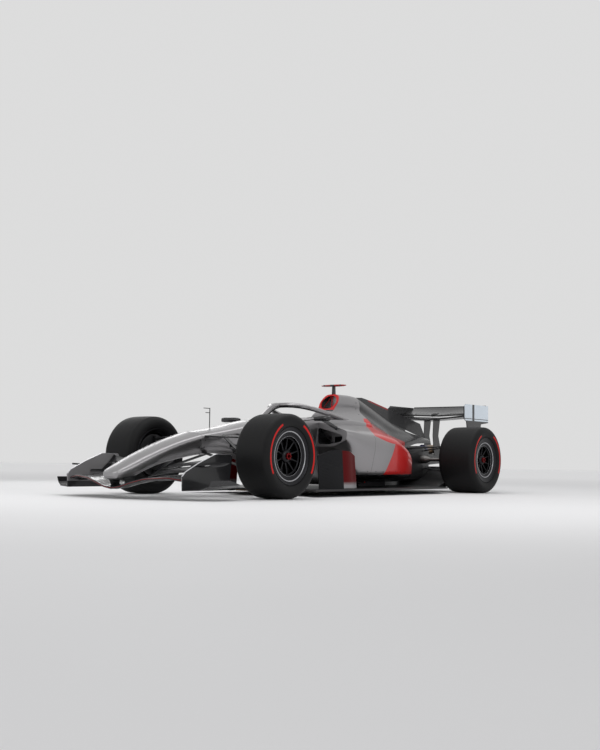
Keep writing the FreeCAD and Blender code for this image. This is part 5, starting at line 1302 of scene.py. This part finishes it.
seat_surface = surface_of(seat_pad)
share = np.linspace(0, 1, STRAP_STEPS)[:, None]
straps = []
for sign in BOTH_SIGNS:
    for start, finish_at, width in STRAP_RUNS:
        flat_path = (start + (np.array(finish_at) - start) * share) * [1, sign]
        laid = np.column_stack([flat_path, np.full(STRAP_STEPS, STRAP_START_Z)])
        path = eased(dropped(laid, seat_surface, STRAP_LIFT))
        straps.append(ribbon(path, width, STRAP_THICKNESS, (0, 0, 1)))
harness_webbing = webbing("harness_webbing", (0.030, 0.030, 0.033), (0.055, 0.055, 0.060))
make_piece("harness_straps", straps, harness_webbing, "chassis")
print("straps:", len(straps))

# %% Buckle
BUCKLE_LIFT = 0.010
BUCKLE_ROWS = [(0.0, 0.030), (0.004, 0.034), (0.012, 0.034), (0.016, 0.029), (0.016, 0.002)]
TAB_CIRCLE, TAB_LIFT, TAB_RADIUS, TAB_HEIGHT = 0.034, 0.004, 0.009, 0.008
TAB_ANGLES = np.radians([30, 150, 210, 330, 90, 270])
buckle_base = dropped([(BUCKLE_X, 0, STRAP_START_Z)], seat_surface, BUCKLE_LIFT)[0]
buckle = [turned(BUCKLE_ROWS, buckle_base, 48, closed=False, axle=2)]
for angle in TAB_ANGLES:
    tab = buckle_base + [TAB_CIRCLE * math.cos(angle), TAB_CIRCLE * math.sin(angle), TAB_LIFT]
    buckle.append(bolt_head(tab, (0, 0, 1), TAB_RADIUS, TAB_HEIGHT))
make_piece("harness_buckle", buckle, aluminium, "chassis")
print("buckle tabs:", len(TAB_ANGLES))

# %% [markdown]
# ## Steering wheel
# The solid is a flat grip with a column. What a driver sees on it is a dark screen, soft grips,
# coloured buttons, three turning knobs, and shift paddles behind. They could be placed one by one in
# the car's axes, but the column leans, so each has its place on the wheel's own face.

# %% The wheel's face
column_axis = Vector(joints["steering_wheel_turn"]["axis"])
wheel_centre = Vector(joints["steering_wheel_turn"]["pos_m"])
facing = -column_axis if column_axis.x > 0 else column_axis
wheel_across = Vector((0, 1, 0))
wheel_up = facing.cross(wheel_across)
if wheel_up.z < 0:
    wheel_up = -wheel_up
wheel_axes = (wheel_across, wheel_up, facing)
wheel_points = mesh_array(nodes["steering_wheel"].data) - np.array(wheel_centre)
face_height = float(np.max(wheel_points @ np.array(facing)))


def on_wheel(across, rise, out=0.0):
    """A place on the wheel's driver side: metres to the left, up its face and out of it."""
    return np.array(
        wheel_centre + wheel_across * across + wheel_up * rise + facing * (face_height + out)
    )


print("the wheel's face stands", round(face_height * 1000, 1), "mm in front of its pivot")

# %% Housing, screen and grips
HOUSING_BOXES = [((0, 0.012, 0.004), (0.074, 0.046, 0.007)), ((0, -0.052, 0.002), (0.050, 0.018, 0.006))]
SCREEN_PLACE, SCREEN_HALF = (0, 0.020, 0.0105), (0.046, 0.026, 0.0012)
GRIP_ACROSS, GRIP_BOW, GRIP_RISE, GRIP_HALF_HEIGHT, GRIP_DEPTH = 0.126, 0.010, 0.010, 0.058, -0.013
GRIP_RADIUS, GRIP_TAPER = 0.0155, 0.004
housing = [soft_box(on_wheel(*place), wheel_axes, half) for place, half in HOUSING_BOXES]
make_piece("wheel_housing", housing, black_plastic, "steering")
screen = [soft_box(on_wheel(*SCREEN_PLACE), wheel_axes, SCREEN_HALF)]
make_piece("wheel_screen", screen, glass_black, "steering")
grip_share = np.linspace(-1, 1, 19)
grips = []
for sign in BOTH_SIGNS:
    grip_path = [
        on_wheel(sign * (GRIP_ACROSS - GRIP_BOW * s**2), GRIP_RISE + GRIP_HALF_HEIGHT * s, GRIP_DEPTH)
        for s in grip_share
    ]
    grips.append(tube(grip_path, GRIP_RADIUS - GRIP_TAPER * grip_share**4, 16))
make_piece("wheel_grips", grips, grip_rubber, "steering")
print("housing, screen and grips made")

# %% Buttons, knobs and paddles
BUTTONS = {
    "red": ((0.062, 0.044), (0.45, 0.01, 0.01)),
    "yellow": ((0.066, 0.022), (0.55, 0.36, 0.01)),
    "blue": ((0.064, -0.002), (0.01, 0.08, 0.40)),
    "green": ((0.050, -0.024), (0.01, 0.25, 0.05)),
}
BUTTON_OUT, BUTTON_RADII = (0.008, 0.0145, 0.0158), (0.0062, 0.0062, 0.0048)
BUTTON_WEAR = 0.7
KNOB_ACROSS, KNOB_RISE = (-0.030, 0, 0.030), -0.048
KNOB_OUT, KNOB_RADII = (0.004, 0.016, 0.019, 0.020), (0.0115, 0.0110, 0.0095, 0.004)
PADDLE_ACROSS, PADDLE_RISE, PADDLE_DEPTH, PADDLE_HALF = 0.088, 0.022, -0.040, (0.034, 0.026, 0.0022)


def on_stem(across, rise, heights, radii, sides):
    """A round knob: rings of these radii at these heights out of the wheel's face."""
    return tube([on_wheel(across, rise, height) for height in heights], radii, sides)


for tone, ((across, rise), colour) in BUTTONS.items():
    pair = [on_stem(sign * across, rise, BUTTON_OUT, BUTTON_RADII, 20) for sign in BOTH_SIGNS]
    worn = tuple(value * BUTTON_WEAR for value in colour)
    plastic = moulded(f"button_{tone}", colour, worn, 0.3)
    make_piece(f"wheel_buttons_{tone}", pair, plastic, "steering")
knobs = [on_stem(across, KNOB_RISE, KNOB_OUT, KNOB_RADII, 12) for across in KNOB_ACROSS]
for sign in BOTH_SIGNS:
    paddle = on_wheel(sign * PADDLE_ACROSS, PADDLE_RISE, PADDLE_DEPTH)
    knobs.append(soft_box(paddle, wheel_axes, PADDLE_HALF, 0.3))
make_piece("wheel_knobs_paddles", knobs, satin_carbon, "steering")
print("steering wheel dressed, with", 2 * len(BUTTONS), "buttons")

# %% [markdown]
# ## Mirrors, lamp and camera
# Small parts carry the eye: polished glass in the mirror housings, a ribbed red lens at the tail,
# and a dark lens at each end of the camera pod. Painted patches would lie flat in every light, so
# each is a thin piece of its own that stands just proud of its solid.

# %% Mirror glass
MIRROR_Z = 0.706
MIRROR_INNER_Y, MIRROR_OUTER_Y = 0.456, 0.646
MIRROR_BACK_X, MIRROR_SWEEP = 0.6266, 0.0245
MIRROR_HALF = (MIRROR_OUTER_Y - MIRROR_INNER_Y) / 2
GLASS_SHARE, GLASS_HALF_HEIGHT, GLASS_HALF_DEPTH, GLASS_PROUD = 0.80, 0.0175, 0.0012, 0.0006
FRAME_SHARE, FRAME_HALF_HEIGHT, FRAME_RADIUS, FRAME_SQUARENESS = 0.82, 0.0192, 0.0016, 0.3
mirror_polish = Finish("mirror_polish", metallic=1.0)
haze = mirror_polish.noise(12, 3.0)
mirror_polish.put("Base Color", mirror_polish.mix(haze, (0.86, 0.87, 0.89), (0.80, 0.81, 0.84)))
mirror_polish.put("Roughness", 0.02 + haze * 0.03)
glass_parts, frame_parts = [], []
turn = full_turn(48)[:, None]
round_across, round_up = [signed_power(wave(turn), FRAME_SQUARENESS) for wave in (np.cos, np.sin)]
for sign in BOTH_SIGNS:
    sweep = Vector((MIRROR_SWEEP, sign * 2 * MIRROR_HALF, 0)).normalized()
    up_axis = Vector((0, 0, 1))
    back_axis = sweep.cross(up_axis) * sign
    if back_axis.x > 0:
        back_axis = -back_axis
    middle_y = sign * (MIRROR_INNER_Y + MIRROR_OUTER_Y) / 2
    centre = Vector((MIRROR_BACK_X - MIRROR_SWEEP / 2, middle_y, MIRROR_Z))
    glass_half = (MIRROR_HALF * GLASS_SHARE, GLASS_HALF_HEIGHT, GLASS_HALF_DEPTH)
    glass_place = centre + back_axis * GLASS_PROUD
    glass_parts.append(soft_box(glass_place, (sweep, up_axis, back_axis), glass_half, 0.25))
    edge = np.array(centre) + round_across * np.array(sweep) * MIRROR_HALF * FRAME_SHARE
    edge = edge + round_up * np.array(up_axis) * FRAME_HALF_HEIGHT
    frame_parts.append(tube(edge, FRAME_RADIUS, 8, closed=True))
make_piece("mirror_glass", glass_parts, mirror_polish.material, "chassis")
make_piece("mirror_frames", frame_parts, black_plastic, "chassis")
print("mirrors glazed")

# %% Rear lamp
LAMP_Z, LAMP_HALF_WIDTH, LAMP_HALF_HEIGHT = 0.370, 0.058, 0.027
LAMP_ROWS, LAMP_COLUMNS = 3, 7
LAMP_CELL_HALF, LAMP_PROUD = (0.0072, 0.0078, 0.0035), 0.001
LAMP_AXES = ((0, 1, 0), (0, 0, 1), (-1, 0, 0))
tail_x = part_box("rear_crash_structure")[0].x
lamp_parts = []
for row in range(LAMP_ROWS):
    for column in range(LAMP_COLUMNS):
        y = (2 * column - LAMP_COLUMNS + 1) / LAMP_COLUMNS * LAMP_HALF_WIDTH
        z = LAMP_Z + (2 * row - LAMP_ROWS + 1) / LAMP_ROWS * LAMP_HALF_HEIGHT
        lamp_parts.append(soft_box((tail_x + LAMP_PROUD, y, z), LAMP_AXES, LAMP_CELL_HALF, 0.35, 7))
lens_red = Finish("lens_red", coat_weight=0.6, ior=1.5)
prism = lens_red.noise(160, 2.0)
lens_red.put("Base Color", lens_red.mix(prism, (0.42, 0.010, 0.010), (0.22, 0.004, 0.004)))
lens_red.put("Roughness", 0.10 + prism * 0.12)
lens_red.bump(prism, 0.0005)
make_piece("rear_light_lens", lamp_parts, lens_red.material, "chassis")
print("lamp cells:", len(lamp_parts))

# %% Camera lenses
LENS_Y, LENS_DROP, LENS_INSET = 0.100, 0.0105, 0.012
LENS_RUN, LENS_RADII = (0, 0.010, 0.0118), (0.0075, 0.0075, 0.0050)
pod_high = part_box("camera_pod")[1]
lens_parts = []
for sign in BOTH_SIGNS:
    place = np.array([pod_high.x - LENS_INSET, sign * LENS_Y, pod_high.z - LENS_DROP])
    lens_parts.append(tube([place + [run, 0, 0] for run in LENS_RUN], LENS_RADII, 24))
make_piece("camera_lenses", lens_parts, glass_black, "chassis")
print("camera lenses:", len(lens_parts))

# %% [markdown]
# ## Intake, coolers and fasteners
# The air intake over the driver's head is split by two struts that carry the roll load. Behind each
# side pod's inlet stands a finned cooler. Flush round screws hold the panels, in rows that follow
# the seams. Their heights could be typed in, but the panels curve, so each screw is dropped onto
# the bodywork by a ray and turned to its slope.

# %% Struts and cooler fins
STRUT_TOP, STRUT_FOOT = (-0.285, 0.004, 0.978), (-0.205, 0.052, 0.852)
STRUT_RADIUS, STRUT_FLATNESS = 0.0062, 0.55
COOLER_X, COOLER_Z = 0.142, 0.525
FIN_COUNT, FIN_START_Y, FIN_STEP, FIN_HALF = 26, 0.350, 0.0074, (0.006, 0.030, 0.0011)
BAR_COUNT, BAR_Y, BAR_START_Z, BAR_STEP, BAR_HALF = 5, 0.442, 0.499, 0.013, (0.094, 0.005, 0.0018)
FIN_AXES, BAR_AXES = ((1, 0, 0), (0, 0, 1), (0, 1, 0)), ((0, 1, 0), (1, 0, 0), (0, 0, 1))
struts, fins = [], []
for sign in BOTH_SIGNS:
    top, foot = np.array(STRUT_TOP) * [1, sign, 1], np.array(STRUT_FOOT) * [1, sign, 1]
    line = top + (foot - top) * np.linspace(0, 1, 9)[:, None]
    struts.append(tube(line, STRUT_RADIUS, 12, STRUT_FLATNESS))
    for i in range(FIN_COUNT):
        place = (COOLER_X, sign * (FIN_START_Y + i * FIN_STEP), COOLER_Z)
        fins.append(soft_box(place, FIN_AXES, FIN_HALF))
    for i in range(BAR_COUNT):
        place = (COOLER_X - 0.001, sign * BAR_Y, BAR_START_Z + i * BAR_STEP)
        fins.append(soft_box(place, BAR_AXES, BAR_HALF))
make_piece("intake_struts", struts, red_anodised, "chassis")
make_piece("cooler_cores", fins, dark_casting, "chassis")
print("struts:", len(struts), "and cooler fins and bars:", len(fins))

# %% Panel screws
SCREW_RADIUS, SCREW_HEIGHT, SCREW_SIDES = 0.0055, 0.0014, 12
FAR_OUT_Y = 1.2
SEAM_HEIGHTS = (0.36, 0.42, 0.48)
screw_rows = {
    "sidepods": [(x, 0.225) for x in np.arange(-0.75, 0.16, 0.13)],
    "nose_cone": [(1.845, z) for z in SEAM_HEIGHTS],
    "survival_cell": [(1.785, z) for z in SEAM_HEIGHTS] + [(x, 0.58) for x in (1.30, 1.18, 1.06)],
    "engine_cover": [(x, 0.62) for x in (-0.95, -1.10, -1.25)],
    "roll_hoop": [(-0.55, z) for z in (0.80, 0.86, 0.92)],
}
panels = {name: surface_of(nodes[name]) for name in screw_rows}
screws = []
for sign in BOTH_SIGNS:
    for name, places in screw_rows.items():
        for x, z in places:
            place, normal = landed(panels[name], (x, FAR_OUT_Y * sign, z), (0, -sign, 0))
            if place is not None:
                screws.append(bolt_head(place, normal, SCREW_RADIUS, SCREW_HEIGHT, SCREW_SIDES))
make_piece("panel_screws", screws, dark_casting, "chassis")
print("screws:", len(screws))

# %% [markdown]
# ## Wings, floor and tail in detail
# Thin metal links space the front flaps, bright strips edge the end plates, and a red line runs
# along the front wing's leading edge, painted red light that the edge catches. A faired pod
# between the rear pylons opens the rear flap, curved fences guide the air under the floor, and
# skid blocks are let into the plank. The edge strips have to lie on curved solids, so rays find
# their lines.

# %% Flap links
LINK_X, LINK_Z, LINK_RAKE, LINK_MIDDLE_Y = 2.170, 0.262, 0.02, 0.40
LINK_YS = (0.28, 0.40, 0.52)
LINK_AXES, LINK_HALF = ((0.93, 0, -0.36), (0.36, 0, 0.93), (0, 1, 0)), (0.034, 0.009, 0.0016)
links = []
for sign in BOTH_SIGNS:
    for y in LINK_YS:
        base = (LINK_X + LINK_RAKE * (LINK_MIDDLE_Y - y), sign * y, LINK_Z)
        links.append(soft_box(base, LINK_AXES, LINK_HALF, 0.4))
make_piece("flap_links", links, aluminium, "front_flap")
print("flap links:", len(links))

# %% Strips along the edges of plates and wings
STRIP_Y, STRIP_WIDTH, STRIP_THICKNESS = 0.660, 0.0125, 0.0024
STRIP_LOWEST_Z = 0.135
LEAD_HALF_SPAN, LEAD_HEIGHTS, LEAD_RADIUS = 0.640, np.arange(0.070, 0.200, 0.003), 0.0022
TRAIL_HALF_SPAN, TRAIL_HEIGHTS = 0.488, np.arange(0.955, 0.990, 0.002)
TRAIL_OFFSET, TRAIL_WIDTH, TRAIL_THICKNESS = (0.0012, 0, 0.004), 0.014, 0.0012
FAR_X = 3.0


def outermost(surface, y, heights, sign):
    """The point nearest to the nose (1) or to the tail (-1) that level rays at these heights meet."""
    found = [landed(surface, (sign * FAR_X, y, z), (-sign, 0, 0))[0] for z in heights]
    return max((place for place in found if place is not None), key=lambda place: sign * place.x)


plate_low, plate_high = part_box("front_wing_plates")
plate_surface = surface_of(nodes["front_wing_plates"])
edge_strips = []
for sign in BOTH_SIGNS:
    line_x = np.linspace(plate_low.x + 0.004, plate_high.x - 0.002, 40)
    found = [landed(plate_surface, (x, sign * STRIP_Y, 1.0), (0, 0, -1))[0] for x in line_x]
    top_line = [place for place in found if place is not None and place.z > STRIP_LOWEST_Z]
    edge_strips.append(ribbon(np.array(top_line), STRIP_WIDTH, STRIP_THICKNESS, (0, 0, 1)))
make_piece("plate_edge_strips", edge_strips, bright_edge, "chassis")

# The red strip along the wing's leading edge is painted light: the red that the edge catches.
wing_surface = surface_of(nodes["front_wing_main"])
span = np.linspace(-LEAD_HALF_SPAN, LEAD_HALF_SPAN, 61)
lead_line = np.array([outermost(wing_surface, y, LEAD_HEIGHTS, 1) for y in span])
lead_red_glint = [tube(eased(lead_line, 2), LEAD_RADIUS, 8)]
make_piece("wing_edge_red_glint", lead_red_glint, red_anodised, "chassis")

flap_surface = surface_of(nodes["rear_wing_flap"])
span = np.linspace(-TRAIL_HALF_SPAN, TRAIL_HALF_SPAN, 49)
trail_line = np.array([outermost(flap_surface, y, TRAIL_HEIGHTS, -1) for y in span])
trail_path = eased(trail_line, 2) + np.array(TRAIL_OFFSET)
trail_strip = [ribbon(trail_path, TRAIL_WIDTH, TRAIL_THICKNESS, (1, 0, 0.5))]
make_piece("rear_flap_strip", trail_strip, satin_carbon, "rear_flap")
print("edge strips laid on", len(edge_strips), "plates and two wings")

# %% Flap opener, floor fences and skid blocks
OPENER_START, OPENER_RUN = (-2.235, 0, 0.862), (-0.200, 0, 0.040)
FENCE_YS, FENCE_FRONT_X, FENCE_LENGTH, FENCE_SWEEP, FENCE_BEND = (0.22, 0.32, 0.42), 1.02, 0.30, 0.9, 0.10
FENCE_Z, FENCE_TOP, FENCE_HALF_WIDTH, FENCE_DEPTH, FENCE_RISE = 0.046, 0.007, 0.0012, 0.012, 0.006
SKID_XS, SKID_YS, SKID_LIFT, SKID_HALF = (0.95, 0.15, -1.35), (-0.095, 0.095), 0.0020, (0.070, 0.030, 0.0024)
WORLD_AXES = ((1, 0, 0), (0, 1, 0), (0, 0, 1))
share = np.linspace(0, 1, 28)
opener_path = np.array(OPENER_START) + np.array(OPENER_RUN) * share[:, None]
opener_radius = 0.004 + 0.020 * np.sin(math.pi * share**0.8)
opener = [tube(opener_path, opener_radius, 20, 0.9)]
make_piece("flap_actuator_fairing", opener, gloss_carbon, "chassis")


def fence(y, sign):
    """A thin upright wall under the floor. Its line bends outwards with the square of the run, and
    its lower edge rises towards the rear."""
    t = np.linspace(0, 1, 16)
    x = FENCE_FRONT_X - FENCE_LENGTH * t - (y - FENCE_YS[0]) * FENCE_SWEEP
    across = sign * (y + FENCE_BEND * t**2)
    low = FENCE_Z - (FENCE_DEPTH - FENCE_RISE * t)
    high = FENCE_Z + FENCE_TOP + 0 * t
    sides = [(FENCE_HALF_WIDTH, low), (FENCE_HALF_WIDTH, high), (-FENCE_HALF_WIDTH, high)]
    sides.append((-FENCE_HALF_WIDTH, low))
    rings = [np.stack([x, across + offset, height], -1) for offset, height in sides]
    return np.stack(rings, 1).reshape(-1, 3), sleeve(len(t), len(rings))


fences = [fence(y, sign) for sign in BOTH_SIGNS for y in FENCE_YS]
make_piece("floor_fences", fences, satin_carbon, "chassis")
skid_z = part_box("plank")[0].z + SKID_LIFT
skids = [soft_box((x, y, skid_z), WORLD_AXES, SKID_HALF, 0.2) for x in SKID_XS for y in SKID_YS]
make_piece("skid_blocks", skids, shaft_steel, "chassis")
print("fences:", len(fences), "and skid blocks:", len(skids))

# %% [markdown]
# ## Floor and light
# A wide pale floor meets a pale sky. Large soft lamps light the car from above and from both sides,
# so that the lacquer shows long highlights and the carbon shows its edges. A curved backdrop would
# need a place, and the views from other sides would see its back. Far from the car the floor glows
# faintly instead, for the camera and in reflections, which hides the horizon and lights nothing.

# %% Floor
GLOW_FROM, GLOW_RUN, GLOW = 7.0, 9.0, 0.10
FLOOR_REACH = 60
CAMERA_RAY, GLOSSY_RAY, TRANSMISSION_RAY = 0, 3, 6


def pale_floor(name):
    """Matt pale floor. The glow grows from 0 to its full level between two distances."""
    finish = Finish(name, emission_strength=1.0, specular_ior_level=0.12)
    x, y, z = finish.place()
    tone = finish.noise(0.6, 2.0)
    finish.put("Base Color", finish.mix(tone, (0.80, 0.80, 0.81), (0.77, 0.77, 0.78)))
    finish.put("Roughness", 0.62 + tone * 0.05)
    far = (((x * x + y * y).root() - GLOW_FROM) / GLOW_RUN).kept_in()
    rays = (CAMERA_RAY, GLOSSY_RAY, TRANSMISSION_RAY)
    camera, glossy, through = [finish.node("ShaderNodeLightPath", out=ray) for ray in rays]
    glow = far * (camera | glossy | through)
    finish.put("Emission Color", finish.mix(glow, (0, 0, 0), (GLOW, GLOW, GLOW)))
    return finish.material


def studio_floor(name):
    """A wide flat disc: rings of points at growing radius, all at height zero."""
    reach = np.linspace(0, 1, 24)[:, None] ** 2 * FLOOR_REACH
    angle = full_turn(96)
    points = np.stack([reach * np.cos(angle), reach * np.sin(angle), 0 * reach * angle], -1)
    mesh = bpy.data.meshes.new(name)
    faces = sleeve(len(reach), len(angle), ends=False)
    mesh.from_pydata(points.reshape(-1, 3).tolist(), [], faces)
    mesh.shade_smooth()
    mesh.materials.append(pale_floor("pale_floor"))
    sweep = bpy.data.objects.new(name, mesh)
    bpy.context.scene.collection.objects.link(sweep)
    sweep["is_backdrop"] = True
    return sweep


studio_floor("studio_floor")
print("floor reaches", FLOOR_REACH, "m")

# %% Lamps and sky
ROOM_LEVEL = 0.72
LAMPS = {
    "overhead": ((0.3, 0.3, 4.2), (0.3, 0, 0), (6.5, 1.5), 62),
    "left_strip": ((1.5, 5.0, 2.6), (0.2, 0, 0.4), (5.0, 0.8), 40),
    "front_strip": ((6.0, -1.5, 2.4), (1.5, 0, 0.3), (0.8, 4.0), 30),
    "right_strip": ((-1.0, -5.0, 2.6), (0, 0, 0.4), (6.0, 0.8), 40),
}


def soft_lamp(name, place, aim, size, power):
    """A rectangular lamp at place that faces aim."""
    lamp = bpy.data.lights.new(name, "AREA")
    lamp.shape = "RECTANGLE"
    lamp.size, lamp.size_y = size
    lamp.energy = power
    holder = bpy.data.objects.new(name, lamp)
    holder.location = place
    holder.rotation_euler = (Vector(aim) - Vector(place)).to_track_quat("-Z", "Y").to_euler()
    bpy.context.scene.collection.objects.link(holder)


for name, settings in LAMPS.items():
    soft_lamp(name, *settings)
world = bpy.data.worlds.new("pale_room")
bpy.context.scene.world = world
world.use_nodes = True
room = world.node_tree
room.nodes.clear()
sky = room.nodes.new("ShaderNodeBackground")
sky.inputs["Color"].default_value = (ROOM_LEVEL, ROOM_LEVEL, ROOM_LEVEL, 1)
out = room.nodes.new("ShaderNodeOutputWorld")
room.links.new(sky.outputs[0], out.inputs["Surface"])
bpy.context.scene.view_settings.view_transform = "Standard"
print("studio ready, with", len(LAMPS), "lamps")

# %% [markdown]
# ## Size
# The dressed car's size is written in metres. The dressed car has to fit in the frame's own
# box. It could be judged by eye, but a few millimetres don't show.

# %% Write the dressed car's size
low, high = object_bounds()
print("visual size:", [round(v, 3) for v in high - low])
